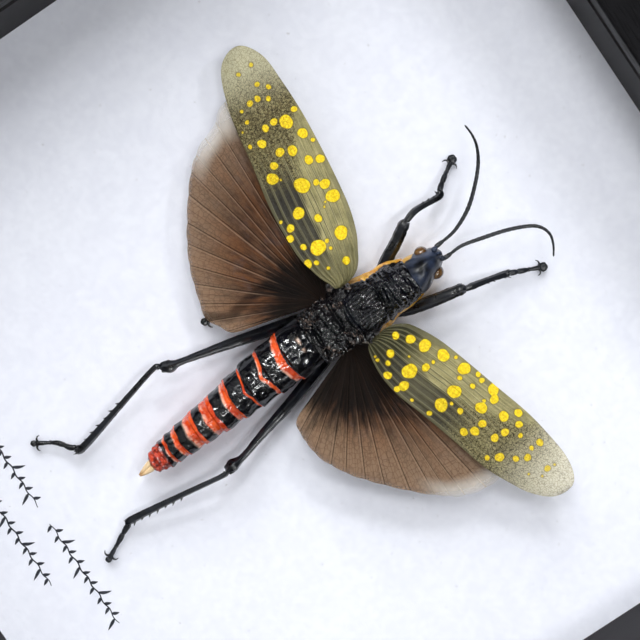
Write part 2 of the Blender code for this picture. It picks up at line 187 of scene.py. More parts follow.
def newFinish(name, roughness=0.5, **fixed):
    finish = bpy.data.materials.new(name)
    finish.use_nodes = True
    shader = finish.node_tree.nodes["Principled BSDF"]
    shader.inputs["Roughness"].default_value = roughness
    for socket, value in fixed.items():
        shader.inputs[socket.replace("_", " ")].default_value = value
    return finish, finish.node_tree, shader


def plugIn(tree, socket, value):
    if isinstance(value, bpy.types.NodeSocket):
        tree.links.new(value, socket)
    else:
        socket.default_value = value


def addNode(tree, kind, settings=None, **sockets):
    node = tree.nodes.new("ShaderNode" + kind)
    for key, value in (settings or {}).items():
        setattr(node, key, value)
    for key, value in sockets.items():
        plugIn(tree, node.inputs[key.replace("_", " ")], value)
    return node


def work(tree, operation, a, b=0.0, clamp=False):
    node = addNode(tree, "Math", {"operation": operation, "use_clamp": clamp})
    plugIn(tree, node.inputs[0], a)
    plugIn(tree, node.inputs[1], b)
    return node.outputs[0]


def between(tree, value, low, high, toLow=0.0, toHigh=1.0):
    node = addNode(tree, "MapRange", {"interpolation_type": "SMOOTHSTEP"})
    for i, item in enumerate((value, low, high, toLow, toHigh)):
        plugIn(tree, node.inputs[i], item)
    return node.outputs[0]


def blendOf(tree, amount, under, over, way="MIX"):
    node = addNode(tree, "Mix", {"data_type": "RGBA", "blend_type": way})
    plugIn(tree, node.inputs[0], amount)
    plugIn(tree, node.inputs[6], under)
    plugIn(tree, node.inputs[7], over)
    return node.outputs[2]


def fieldOf(tree, name, output="Fac"):
    return addNode(tree, "Attribute", {"attribute_name": name}).outputs[output]


def objectPlace(tree):
    return addNode(tree, "TexCoord").outputs["Object"]


def stretched(tree, vector, scale):
    return addNode(tree, "Mapping", Vector=vector, Scale=scale).outputs[0]


def speckle(tree, vector, scale, detail=3.0, rough=0.55, distortion=0.0):
    return addNode(tree, "TexNoise", Vector=vector, Scale=scale, Detail=detail,
                   Roughness=rough, Distortion=distortion).outputs["Fac"]


def cellLines(tree, vector, scale, randomness=1.0):
    return addNode(tree, "TexVoronoi", {"feature": "DISTANCE_TO_EDGE"}, Vector=vector,
                   Scale=scale, Randomness=randomness).outputs["Distance"]


def relief(tree, height, distance, strength=1.0, under=None):
    node = addNode(tree, "Bump", Height=height, Distance=distance, Strength=strength)
    if under is not None:
        tree.links.new(under, node.inputs["Normal"])
    return node.outputs[0]


cameraSetup = {
    "place": (-15.8, 291.5, 26.0),  # across, off the card, up, in millimetres
    "turn": (82.792, -55.983, 2.998),  # degrees
    "lens": 106.875,
    "sensor": 36,
}


def addCamera():
    camera = bpy.data.cameras.new("viewCamera")
    camera.sensor_width = cameraSetup["sensor"]
    camera.lens = cameraSetup["lens"]
    camera.clip_start = 0.01
    holder = bpy.data.objects.new("viewCamera", camera)
    bpy.context.scene.collection.objects.link(holder)
    holder.location = inBox(cameraSetup["place"])
    holder.rotation_euler = [math.radians(a) for a in cameraSetup["turn"]]
    bpy.context.scene.camera = holder


lightSetup = {
    "front": {"aim": (-0.34, 0.8, 0.15), "away": 1.8, "size": 0.6, "power": 9.8, "gleam": False},
    "frontRight": {"aim": (0.12, 0.8, 0.12), "away": 1.8, "size": 0.3, "power": 6.2, "gleam": False},
    "upper": {"aim": (0.1, 0.8, 0.5), "away": 1.8, "size": 0.24, "power": 4.2},
    "key": {"aim": (-0.6, 0.8, 0.65), "away": 2.4, "size": 0.4, "power": 13.0},
    "side": {"aim": (-1.3, 0.8, 0.5), "away": 2.4, "size": 1.6, "power": 42.0, "gleam": False},
    "glintLeft": {"aim": (-0.55, 0.8, 0.05), "away": 0.9, "size": 0.12, "power": 2.6, "lit": False},
    "glintLow": {"aim": (0.5, 0.8, -0.12), "away": 0.5, "size": 0.07, "power": 0.7, "lit": False},
    "glintRight": {"aim": (0.6, 0.8, 0.25), "away": 0.9, "size": 0.12, "power": 2.2, "lit": False},
    "back": {"aim": (0.3, -0.9, 0.5), "away": 1.2, "size": 1.0, "power": 6.0},
    "world": (0.93, 0.95, 1.0),
    "worldStrength": 0.8,
    "lamp": (0.99, 0.985, 1.0),
}


def addLights():
    for name, setup in lightSetup.items():
        if not isinstance(setup, dict):
            continue
        lamp = bpy.data.lights.new(name + "Light", "AREA")
        lamp.shape = "DISK"
        lamp.size = setup["size"]
        lamp.energy = setup["power"]
        lamp.color = lightSetup["lamp"]
        holder = bpy.data.objects.new(name + "Light", lamp)
        bpy.context.scene.collection.objects.link(holder)
        aim = Vector((setup["aim"][0], -setup["aim"][1], setup["aim"][2])).normalized()
        holder.location = Vector((middleX, 0, middleZ)) + aim * setup["away"]
        holder.rotation_euler = aim.to_track_quat("Z", "Y").to_euler()
        holder.visible_glossy = setup.get("gleam", True)  # some would veil the glass
        holder.visible_diffuse = setup.get("lit", True)  # glints only brighten the horn
    world = bpy.data.worlds.new("studio")
    world.use_nodes = True
    sky = world.node_tree.nodes["Background"]
    sky.inputs["Color"].default_value = lightSetup["world"] + (1.0,)
    sky.inputs["Strength"].default_value = lightSetup["worldStrength"]
    world.cycles_visibility.diffuse = False  # a pale backdrop that adds no light
    world.cycles_visibility.glossy = False
    bpy.context.scene.world = world
    bpy.context.scene.view_settings.view_transform = "Standard"


floorSetup = {"side": 8.0, "colour": (222, 222, 220)}


def addFloor():
    half = floorSetup["side"] / 2
    mesh = bpy.data.meshes.new("floor")
    corners = [(-half, -half, 0), (half, -half, 0), (half, half, 0), (-half, half, 0)]
    mesh.from_pydata(corners, [], [(0, 1, 2, 3)])
    finish, tree, shader = newFinish("floorFinish", 0.7)
    cloud = speckle(tree, objectPlace(tree), 6, 4)
    light = paint(*floorSetup["colour"])
    darker = paint(*(c - 8 for c in floorSetup["colour"]))
    plugIn(tree, shader.inputs["Base Color"], blendOf(tree, cloud, darker, light))
    mesh.materials.append(finish)
    floor = bpy.data.objects.new("floor", mesh)
    bpy.context.scene.collection.objects.link(floor)
    floor.location = (middleX, 0, cadLow.z - 0.0001)


addCamera()
addLights()
addFloor()
print("camera, lights and floor in place")


mouldingLook = {
    "inks": {"stain": (10, 10, 12), "fibre": (17, 17, 20), "worn": (20, 20, 23), "pore": (8, 8, 10)},
    "satin": 0.45,
}


def dressNode(nodeName, finish):
    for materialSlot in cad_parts[nodeName].material_slots:
        materialSlot.material = finish


def lacquerFinish(name, lengthwise):
    # black stained wood: long pores under a thin satin lacquer, rubbed a little grey
    inks = inksOf(mouldingLook)
    finish, tree, shader = newFinish(name, mouldingLook["satin"], Specular_IOR_Level=0.1)
    scale = (14, 220, 220) if lengthwise == "x" else (220, 220, 14)
    place = objectPlace(tree)
    fibre = speckle(tree, stretched(tree, place, scale), 5, 5, 0.65)
    pore = between(tree, speckle(tree, stretched(tree, place, scale), 14, 3, 0.5), 0.36, 0.46)
    wear = between(tree, speckle(tree, place, 60, 4, 0.6), 0.56, 0.78, 0.0, 0.5)
    colour = blendOf(tree, fibre, inks["stain"], inks["fibre"])
    colour = blendOf(tree, wear, colour, inks["worn"])
    colour = blendOf(tree, pore, inks["pore"], colour)
    plugIn(tree, shader.inputs["Base Color"], colour)
    plugIn(tree, shader.inputs["Roughness"], between(tree, fibre, 0.3, 0.7, 0.4, 0.58))
    height = work(tree, "ADD", work(tree, "MULTIPLY", fibre, 0.5), pore)
    plugIn(tree, shader.inputs["Normal"], relief(tree, height, 0.00012, 0.5))
    return finish


linerLook = {"inks": {"dark": (25, 23, 26), "light": (36, 34, 37), "tooth": (40, 38, 40)}}


def linerFinish():
    # matt black card-covered strips with a fine tooth
    inks = inksOf(linerLook)
    finish, tree, shader = newFinish("linerStrip", 0.75, Specular_IOR_Level=0.3)
    place = objectPlace(tree)
    cloud = speckle(tree, place, 90, 5, 0.6)
    tooth = speckle(tree, place, 2600, 2, 0.5)
    colour = blendOf(tree, cloud, inks["dark"], inks["light"])
    colour = blendOf(tree, between(tree, tooth, 0.3, 0.7, 0, 0.35), colour, inks["tooth"])
    plugIn(tree, shader.inputs["Base Color"], colour)
    plugIn(tree, shader.inputs["Normal"], relief(tree, tooth, 0.00004, 0.6))
    return finish


# shine is how much of a lamp the pane mirrors edge on; head on it mirrors next to nothing
glassLook = {"tint": (0.985, 0.992, 0.988, 1), "shine": 0.6, "polish": 0.02}


def glassFinish():
    # clear picture glass with a thin anti-glare coat; lamps pass straight through
    finish = bpy.data.materials.new("pictureGlass")
    finish.use_nodes = True
    tree = finish.node_tree
    tree.nodes.clear()
    edgeOn = addNode(tree, "LayerWeight", Blend=0.5).outputs["Facing"]  # alike from both sides
    share = work(tree, "MULTIPLY", work(tree, "POWER", edgeOn, 4.0), glassLook["shine"], True)
    clear = addNode(tree, "BsdfTransparent", Color=glassLook["tint"])
    mirror = addNode(tree, "BsdfGlossy", Color=(1, 1, 1, 1), Roughness=glassLook["polish"])
    mix = addNode(tree, "MixShader")
    tree.links.new(share, mix.inputs[0])
    tree.links.new(clear.outputs[0], mix.inputs[1])
    tree.links.new(mirror.outputs[0], mix.inputs[2])
    out = addNode(tree, "OutputMaterial")
    tree.links.new(mix.outputs[0], out.inputs[0])
    return finish


cardLook = {
    "inks": {"paper": (234, 235, 247), "pulp": (240, 241, 252), "cloud": (243, 244, 254),
             "fibre": (220, 220, 232), "mottle": (226, 227, 239), "fleck": (170, 166, 168)},
}


def cardFinish():
    # thick cotton-fibre paper, cool white, softly mottled like pressed pulp
    inks = inksOf(cardLook)
    finish, tree, shader = newFinish("cottonCard", 0.85)
    place = objectPlace(tree)
    pulp = speckle(tree, place, 330, 5, 0.62, 0.6)
    cloud = speckle(tree, place, 85, 4, 0.6, 0.4)
    fibre = speckle(tree, stretched(tree, place, (1.0, 1.0, 3.5)), 900, 3, 0.6, 1.2)
    fleck = between(tree, speckle(tree, place, 1300, 2, 0.5), 0.69, 0.76)
    colour = blendOf(tree, between(tree, pulp, 0.35, 0.65), inks["paper"], inks["pulp"])
    colour = blendOf(tree, between(tree, cloud, 0.3, 0.7, 0, 0.5), colour, inks["cloud"])
    colour = blendOf(tree, between(tree, fibre, 0.6, 0.72, 0, 0.3), colour, inks["fibre"])
    mottle = speckle(tree, place, 760, 3, 0.6)
    colour = blendOf(tree, between(tree, mottle, 0.42, 0.6, 0, 0.22), colour, inks["mottle"])
    colour = blendOf(tree, work(tree, "MULTIPLY", fleck, 0.35), colour, inks["fleck"])
    plugIn(tree, shader.inputs["Base Color"], colour)
    height = work(tree, "ADD", pulp, work(tree, "MULTIPLY", fibre, 0.5))
    plugIn(tree, shader.inputs["Normal"], relief(tree, height, 0.0001, 0.3))
    return finish


boardLook = {
    "inks": {"dark": (96, 75, 54), "brown": (128, 104, 78), "light": (142, 118, 90), "fleck": (70, 52, 36)},
}


def boardFinish():
    # brown hardboard, pressed fibres on show
    inks = inksOf(boardLook)
    finish, tree, shader = newFinish("hardboard", 0.8)
    place = objectPlace(tree)
    fibre = speckle(tree, place, 700, 5, 0.7, 1.5)
    cloud = speckle(tree, place, 40, 4, 0.6)
    dark = between(tree, speckle(tree, place, 1500, 2, 0.5), 0.58, 0.7)
    colour = blendOf(tree, fibre, inks["dark"], inks["brown"])
    colour = blendOf(tree, between(tree, cloud, 0.35, 0.7, 0, 0.4), colour, inks["light"])
    colour = blendOf(tree, work(tree, "MULTIPLY", dark, 0.5), colour, inks["fleck"])
    plugIn(tree, shader.inputs["Base Color"], colour)
    plugIn(tree, shader.inputs["Normal"], relief(tree, fibre, 0.0001, 0.6))
    return finish


steelLook = {"inks": {"dull": (140, 140, 142), "bright": (168, 168, 170), "stain": (112, 106, 98)}}


def steelFinish():
    # stamped spring steel, brushed and a little dulled
    inks = inksOf(steelLook)
    finish, tree, shader = newFinish("stampedSteel", 0.35, Metallic=1.0)
    place = objectPlace(tree)
    brush = speckle(tree, stretched(tree, place, (40, 1500, 1500)), 3, 4, 0.6)
    stain = between(tree, speckle(tree, place, 300, 4, 0.6), 0.5, 0.72, 0, 0.6)
    colour = blendOf(tree, brush, inks["dull"], inks["bright"])
    colour = blendOf(tree, stain, colour, inks["stain"])
    plugIn(tree, shader.inputs["Base Color"], colour)
    plugIn(tree, shader.inputs["Roughness"], between(tree, stain, 0, 0.6, 0.28, 0.5))
    plugIn(tree, shader.inputs["Normal"], relief(tree, brush, 0.00003, 0.5))
    return finish


def dressCase():
    acrossFinish = lacquerFinish("blackLacquerAcross", "x")
    uprightFinish = lacquerFinish("blackLacquerUpright", "z")
    for side in ("top", "bottom", "left", "right"):
        dressNode("rail_" + side, acrossFinish if side in ("top", "bottom") else uprightFinish)
    strip = linerFinish()
    steel = steelFinish()
    for side in ("top", "bottom", "left", "right"):
        dressNode("liner_" + side, strip)
        for number in (1, 2):
            dressNode(f"flex_point_{side}_{number}", steel)
    dressNode("glass", glassFinish())
    dressNode("backing_card", cardFinish())
    dressNode("back_board", boardFinish())
    for nodeName in ("hanger", "hanger_nail_left", "hanger_nail_right"):
        dressNode(nodeName, steel)


dressCase()
print("case dressed")


# s runs from the hinge to the tip, t across towards the leading edge, both in millimetres.

forewingLook = {
    "rows": 240, "columns": 92, "thick": 0.13,
    "droop": 3.0, "camber": 0.8, "wave": 0.16, "crumple": 0.05,
    "pleat": (0.05, 0.03), "pleatFade": (14, 30),  # millimetres of swell between veins; where it dies out
    "charcoal": (0.5, 6, 14, 21), "mesh": (10, 15, 29, 36.5),  # each zone fades in, then out, along the wing
    "inks": {
        "olive": (124, 118, 82), "oliveWarm": (166, 157, 110), "streakPale": (188, 176, 130),
        "streakDark": (84, 82, 50), "root": (46, 45, 26), "blot": (72, 58, 32), "net": (38, 30, 16),
        "soot": (38, 36, 35), "sootNet": (58, 56, 53), "tip": (216, 210, 180), "tipHazy": (248, 240, 214),
        "tipNet": (112, 104, 74), "veinSide": (196, 188, 144), "vein": (52, 48, 28),
        "spotRing": (112, 92, 20), "spotDeep": (226, 182, 22), "spot": (250, 226, 44),
        "spotNet": (150, 110, 20),
    },
}

forewings = {
    "left": {
        "hinge": (-4.2, 8.9, 12.4), "turn": 169.1, "mirror": -1, "hazy": 0.0,
        "outline": [(-1.1, -0.9), (-0.5, 1.0), (0.4, 2.3), (1.6, 3.1), (2.9, 3.6), (5.6, 4.5), (9.5, 5.0),
                    (14.7, 4.9), (20.5, 4.5), (25.3, 4.0), (30.5, 3.1), (35.2, 1.9), (37.9, -0.6),
                    (37.3, -3.3), (34.6, -5.1), (28.5, -6.0), (21.0, -5.9), (14.1, -6.0), (8.4, -5.4),
                    (5.3, -4.8), (3.1, -3.9), (1.4, -3.1), (0.1, -2.2), (-0.8, -1.7)],
        "spots": {
            1.15: [(5.8, -1.6), (15.2, -0.2)],
            1.00: [(6.5, 2.4), (12.0, 3.4), (24.8, 1.3)],
            0.87: [(11.6, -2.3), (17.8, -3.9)],
            0.75: [(20.5, 0.5), (14.1, 3.0), (22.3, 2.9)],
            0.65: [(4.1, -4.0), (17.8, 3.8), (18.3, 2.2), (21.0, -1.3), (23.2, -3.3)],
            0.58: [(2.4, 1.5), (8.6, -5.0), (9.8, 0.1), (10.0, -4.3), (19.5, -2.9)],
            0.53: [(25.1, -1.9), (25.5, -0.4)],
            0.46: [(6.7, -3.6), (14.8, 1.9), (26.1, 3.1), (29.6, -1.3), (29.4, -2.6)],
            0.38: [(3.8, -2.7), (29.0, 0.2), (31.6, -0.5), (30.6, 0.9)],
            0.32: [(6.2, 0.0), (20.8, 3.9), (23.5, -5.1), (27.0, -4.1), (34.0, -2.5), (34.6, -0.2)],
            0.26: [(2.4, -1.4), (5.0, 0.1), (11.4, -5.3), (28.8, -4.2)],
            0.17: [(11.0, 1.6), (11.6, 2.0), (17.2, -2.8), (25.9, -5.3)],
        },
    },
    "right": {
        "hinge": (5.9, 8.9, 12.2), "turn": 18.8, "mirror": 1, "hazy": 1.0,
        "outline": [(-0.6, -1.0), (-0.1, 1.3), (0.6, 2.6), (2.1, 3.9), (4.3, 4.5), (7.8, 4.9), (12.5, 4.8),
                    (18.3, 4.5), (24.2, 4.2), (28.5, 3.6), (33.3, 2.5), (36.2, 0.8), (36.9, -1.2),
                    (35.6, -3.7), (32.5, -5.3), (29.3, -5.9), (24.8, -6.3), (18.6, -5.9), (12.5, -5.6),
                    (7.9, -5.5), (5.3, -5.1), (3.0, -4.4), (0.8, -3.3), (-0.4, -2.3)],
        "spots": {
            1.12: [(6.7, -1.5)],
            1.00: [(13.6, -2.7), (13.9, 0.1)],
            0.92: [(6.2, 2.9), (9.3, 3.4), (13.0, 3.7)],
            0.86: [(18.4, 3.9), (18.6, 0.6)],
            0.76: [(7.4, -3.8), (22.1, 1.6)],
            0.68: [(3.9, 2.4), (19.4, 2.8), (20.0, -2.8), (25.4, -3.7)],
            0.60: [(2.8, -1.1), (4.5, -4.0), (8.3, 0.4), (18.8, -3.9), (20.2, -1.2), (23.0, -1.8),
                   (23.6, 3.3), (23.7, -0.2)],
            0.54: [(1.8, 1.5), (24.7, 2.0), (28.8, -1.2), (28.9, 1.7)],
            0.47: [(6.9, -4.8), (16.4, -1.7), (27.5, -2.4), (32.2, -0.7)],
            0.40: [(3.4, -2.5), (13.0, -4.8), (15.2, 4.3), (15.6, 2.4), (16.2, 3.9), (24.0, -4.9)],
            0.36: [(13.3, 2.2), (25.9, 0.8), (28.4, 0.3)],
            0.27: [(1.9, -3.1), (8.7, 1.7), (9.7, -4.8), (11.0, 4.3), (14.7, -1.6), (18.3, 1.7)],
            0.18: [(1.3, -2.9), (5.3, 0.2), (30.5, -3.1), (32.3, -2.1), (32.7, 0.4)],
        },
    },
}

# long veins as shares of the width, trailing edge 0; how dark each one is drawn
wingVeins = {
    "share": (0.03, 0.13, 0.24, 0.35, 0.45, 0.54, 0.60, 0.68, 0.76, 0.85, 0.93),
    "dark": (0.5, 0.45, 0.3, 0.35, 0.9, 1.0, 0.95, 0.6, 0.7, 0.55, 0.35),
}


def wingSpan(outline, rows):
    # places along the wing, closer at base and tip, with the lower and upper edge at each
    line = smoothThrough(outline + outline[:1], 900)
    base, tip = line[:, 0].argmin(), line[:, 0].argmax()
    if base > tip:
        base, tip = tip, base
    one = line[base:tip + 1]
    other = np.vstack([line[tip:], line[:base + 1]])
    swing = 0.5 - 0.5 * np.cos(np.linspace(0.02, math.pi - 0.02, rows))
    s = line[:, 0].min() + (line[:, 0].max() - line[:, 0].min()) * swing
    edges = []
    for side in (one, other):
        side = side[np.argsort(side[:, 0])]
        edges.append(np.interp(s, side[:, 0], side[:, 1]))
    low, high = np.minimum(*edges), np.maximum(*edges)
    return s, low, high


def closedSheet(upper, under):
    # two matching grids joined round the rim
    rows, columns, _ = upper.shape
    faces = gridFaces(rows, columns, False)
    faces += [f[::-1] for f in gridFaces(rows, columns, False, rows * columns)]
    index = np.arange(rows * columns).reshape(rows, columns)
    rim = np.r_[index[0, :-1], index[:-1, -1], index[-1, :0:-1], index[:0:-1, 0]]
    for a, b in zip(rim, np.roll(rim, -1)):
        faces.append([int(b), int(a), int(a) + rows * columns, int(b) + rows * columns])
    return np.vstack([upper.reshape(-1, 3), under.reshape(-1, 3)]), faces


def spotField(s, t, spots):
    # distance to the edge of the nearest spot, less than 0 inside; the spots are not quite round
    nearest = np.full(s.shape, 9.0)
    number = 0
    for radius, places in spots.items():
        for sHere, tHere in places:
            number += 1
            ds, dt = s - sHere, t - tHere
            angle = np.arctan2(dt, ds)
            lean = 0.07 * np.cos(2 * angle - 2.4 * number)
            dent = 0.03 * np.cos(3 * angle + number) + 0.02 * np.cos(5 * angle + 2 * number)
            nearest = np.minimum(nearest, np.hypot(ds, dt) - radius * (1 + lean + dent))
    return nearest


def forewingZones(wing, look, s, share):
    # how strongly each zone of the pattern shows at each point
    hazy = wing["hazy"]  # 1 where the wing is paler and milkier
    sootIn, meshIn = look["charcoal"], look["mesh"]
    trailing = 1 - ease(share + 0.02 * np.sin(s * 1.3), 0.43, 0.50)
    charcoal = trailing * ease(s, *sootIn[:2]) * (1 - ease(s, *sootIn[2:]))
    meshTop = np.interp(s, (10, 14, 20, 25, 29, 33), (0.40, 0.45, 0.60, 0.80, 1.1, 1.2))
    meshed = ease(s, *meshIn[:2]) * (1 - ease(s, *meshIn[2:]))
    meshed = meshed * (1 - ease(share, meshTop - 0.08, meshTop + 0.14))
    return {
        "charcoal": charcoal * (1 - 0.15 * hazy),
        "meshed": meshed * (1 - 0.35 * hazy),
        "tipPale": ease(s, 27 - 3 * hazy, 35.5) * (0.8 + 0.2 * hazy),
        "rootDark": ease(s, 8.0 + 2.0 * hazy, 1.0 + 2.0 * hazy) * (0.5 + 0.5 * hazy),
        "hazy": hazy + 0 * s,
    }


def addForewing(side, finish):
    wing = forewings[side]
    look = forewingLook
    s, low, high = wingSpan(wing["outline"], look["rows"])
    share = np.linspace(0, 1, look["columns"])[None, :]
    s = np.repeat(s[:, None], look["columns"], 1)
    width = np.maximum(high - low, 0.04)[:, None]
    t = low[:, None] + width * share
    veins = np.arange(1, len(wingVeins["share"]) + 1)  # the number is whole on a vein
    number = np.interp(share, wingVeins["share"], veins) + 0 * s
    number = number + 0.05 * np.sin(s * 0.7 + 3 * share)
    nearVein = np.abs(number - np.round(number))
    darkest = np.interp(np.round(number), veins, wingVeins["dark"])

    # lift: a gentle camber, pleats along the veins that fade out to the tip, a slight wave
    fade = 1 - ease(s, *look["pleatFade"])
    lift = look["camber"] * (1 - (2 * share - 1) ** 2) * np.minimum(1, width / 8)
    swell = look["pleat"][0] + look["pleat"][1] * np.cos(2.3 * np.round(number) + 0.15 * s)
    lift = lift + swell * fade * np.cos(2 * math.pi * number) + 0.04 * (nearVein < 0.1) * darkest * fade
    lift = lift + look["wave"] * np.sin(s * 0.33 + share * 2.2)
    flat = np.stack([s, t, 0 * s], -1)
    lift = lift + look["crumple"] * grain(flat, 0.5, 3, 4.0)

    turn = math.radians(wing["turn"])
    drop = math.radians(look["droop"])
    along = np.array((math.cos(turn), 0, math.sin(turn)))
    across = np.array((-math.sin(turn), 0, math.cos(turn))) * wing["mirror"]
    height = wing["hinge"][1] - s * math.sin(drop) + lift
    upper = np.array(wing["hinge"]) * (1, 0, 1) + s[..., None] * along + t[..., None] * across
    upper = upper + height[..., None] * (0, 1, 0)
    toEnd = np.minimum(s - s.min(), s.max() - s) + 0.02
    edge = np.minimum(np.minimum(share, 1 - share) * width, toEnd)
    thick = look["thick"] * np.clip(edge / 0.5, 0.3, 1)
    under = upper - thick[..., None] * (0, 1, 0)

    fields = {
        "wingPlace": flat.reshape(-1, 3),
        "spotEdge": spotField(s, t, wing["spots"]).ravel(),
        "veinAt": number.ravel(),
        "veinDark": (darkest * (1 - ease(s, 15, 27))).ravel(),
        "rimEdge": np.clip(edge, 0, 3).ravel(),
    }
    for key, zone in forewingZones(wing, look, s, share).items():
        fields[key] = zone.ravel()
    fields = {key: np.concatenate([value, value]) for key, value in fields.items()}
    makePiece(side + "Forewing", [closedSheet(upper, under)], finish,
              ["forewing_" + side], 60, fields)


def wingNet(tree, place):
    # closed cells between the small veins, their walls a little wavy
    warp = addNode(tree, "VectorMath", {"operation": "ADD"})
    plugIn(tree, warp.inputs[0], place)
    wobble = addNode(tree, "TexNoise", Vector=place, Scale=1.3, Detail=2.0)
    tree.links.new(wobble.outputs["Color"], warp.inputs[1])
    cells = cellLines(tree, stretched(tree, warp.outputs[0], (0.85, 1.1, 1)), 2.3)
    return between(tree, cells, 0.02, 0.11, 1, 0)


def forewingGround(tree, place, net, inks):
    # olive ground in long streaks, the net boldest in the meshed zone, then the charcoal patch
    cloud = speckle(tree, stretched(tree, place, (0.55, 1, 1)), 0.55, 4, 0.6)
    streak = speckle(tree, stretched(tree, place, (0.12, 2.2, 1)), 1.6, 4, 0.65)
    olive = blendOf(tree, between(tree, cloud, 0.3, 0.7), inks["olive"], inks["oliveWarm"])
    olive = blendOf(tree, between(tree, streak, 0.4, 0.72, 0, 0.75), olive, inks["streakPale"])
    olive = blendOf(tree, between(tree, streak, 0.42, 0.25, 0, 0.6), olive, inks["streakDark"])
    olive = blendOf(tree, fieldOf(tree, "rootDark"), olive, inks["root"])
    coarse = speckle(tree, place, 2.4, 3, 0.7)
    meshed = fieldOf(tree, "meshed")
    netHere = work(tree, "MULTIPLY", net, between(tree, meshed, 0.0, 0.7, 0.16, 0.95))
    blot = work(tree, "MULTIPLY", between(tree, coarse, 0.38, 0.62, 0.35, 1), meshed)
    colour = blendOf(tree, work(tree, "MULTIPLY", blot, 0.88), olive, inks["blot"])
    colour = blendOf(tree, netHere, colour, inks["net"])
    soot = blendOf(tree, net, inks["soot"], inks["sootNet"])
    return blendOf(tree, work(tree, "MULTIPLY", fieldOf(tree, "charcoal"), 0.93), colour, soot)


def forewingTip(tree, colour, net, inks):
    # the tip pales to cream, its net still showing
    tipGround = blendOf(tree, fieldOf(tree, "hazy"), inks["tip"], inks["tipHazy"])
    tipColour = blendOf(tree, work(tree, "MULTIPLY", net, 0.5), tipGround, inks["tipNet"])
    return blendOf(tree, work(tree, "MULTIPLY", fieldOf(tree, "tipPale"), 0.85), colour, tipColour)


def forewingVeins(tree, colour, inks):
    # long veins, a dark line with a paler shoulder; hands back the line too
    phase = work(tree, "FRACT", work(tree, "ADD", fieldOf(tree, "veinAt"), 0.5))
    gap = work(tree, "ABSOLUTE", work(tree, "SUBTRACT", phase, 0.5))
    dark = fieldOf(tree, "veinDark")
    besideVein = between(tree, gap, 0.08, 0.22, 1, 0)
    shoulder = work(tree, "MULTIPLY", besideVein, work(tree, "MULTIPLY", dark, 0.5))
    colour = blendOf(tree, shoulder, colour, inks["veinSide"])
    line = work(tree, "MULTIPLY", between(tree, gap, 0.045, 0.10, 1, 0), dark)
    return blendOf(tree, work(tree, "MULTIPLY", line, 0.9), colour, inks["vein"]), line


def forewingSpots(tree, colour, place, net, inks):
    # yellow spots in a darker ring; hands back the distance from their edge too
    edgeNoise = work(tree, "MULTIPLY", work(tree, "SUBTRACT", speckle(tree, place, 5, 2), 0.5), 0.1)
    spot = work(tree, "ADD", fieldOf(tree, "spotEdge"), edgeNoise)
    halo = between(tree, spot, 0.04, 0.22, 1, 0)
    colour = blendOf(tree, work(tree, "MULTIPLY", halo, 0.55), colour, inks["spotRing"])
    inside = between(tree, spot, -0.05, 0.05, 1, 0)
    tone = between(tree, speckle(tree, place, 3.2, 3, 0.7), 0.35, 0.62)
    yellow = blendOf(tree, tone, inks["spotDeep"], inks["spot"])
    veinInSpot = work(tree, "MULTIPLY", net, work(tree, "MULTIPLY", fieldOf(tree, "meshed"), 0.5))
    yellow = blendOf(tree, veinInSpot, yellow, inks["spotNet"])
    faded = work(tree, "SUBTRACT", 1.0, work(tree, "MULTIPLY", fieldOf(tree, "tipPale"), 0.35))
    return blendOf(tree, work(tree, "MULTIPLY", inside, faded), colour, yellow), spot


def forewingFinish():
    inks = inksOf(forewingLook)
    finish, tree, shader = newFinish("forewingMembrane", 0.42, Specular_IOR_Level=0.2)
    place = fieldOf(tree, "wingPlace", "Vector")
    net = wingNet(tree, place)
    colour = forewingGround(tree, place, net, inks)
    colour = forewingTip(tree, colour, net, inks)
    colour, line = forewingVeins(tree, colour, inks)
    colour, spot = forewingSpots(tree, colour, place, net, inks)
    plugIn(tree, shader.inputs["Base Color"], colour)
    # sight through the thin tip and rim
    thin = between(tree, fieldOf(tree, "hazy"), 0, 1, 0.15, 0.4)
    thin = work(tree, "MULTIPLY", fieldOf(tree, "tipPale"), thin)
    rim = between(tree, fieldOf(tree, "rimEdge"), 0.0, 0.35, 0.12, 0.0)
    thin = work(tree, "ADD", thin, rim)
    thin = work(tree, "MULTIPLY", thin, between(tree, spot, -0.05, 0.15, 0.1, 1.0))
    plugIn(tree, shader.inputs["Alpha"], work(tree, "SUBTRACT", 1.0, thin))
    plugIn(tree, shader.inputs["Roughness"], between(tree, net, 0, 1, 0.36, 0.55))
    ridge = work(tree, "ADD", work(tree, "MULTIPLY", net, 0.5), line)
    plugIn(tree, shader.inputs["Normal"], relief(tree, ridge, 0.00012, 0.5))
    return finish


forewingSkin = forewingFinish()
for wingSide in forewings:
    addForewing(wingSide, forewingSkin)
print("forewings made")


hindwingLook = {
    "rows": 92, "columns": 290, "thick": 0.08, "droop": 2.4, "pleat": 0.2, "finePleat": 0.05,
    "billow": 0.22, "crumple": 0.04, "sootFade": (6.5, 12.5), "rearSootFade": (9.5, 14.0),
    "inks": {
        "brown": (52, 34, 24), "brownLight": (96, 68, 50), "rust": (100, 60, 32), "paintedSheen": (82, 70, 70),
        "rim": (156, 128, 104), "legPaintedShade": (16, 12, 11), "rung": (70, 46, 34), "fineRay": (62, 42, 32),
        "paleRay": (172, 142, 118), "ray": (30, 22, 20), "soot": (8, 7, 7), "clear": (226, 215, 200),
    },
}

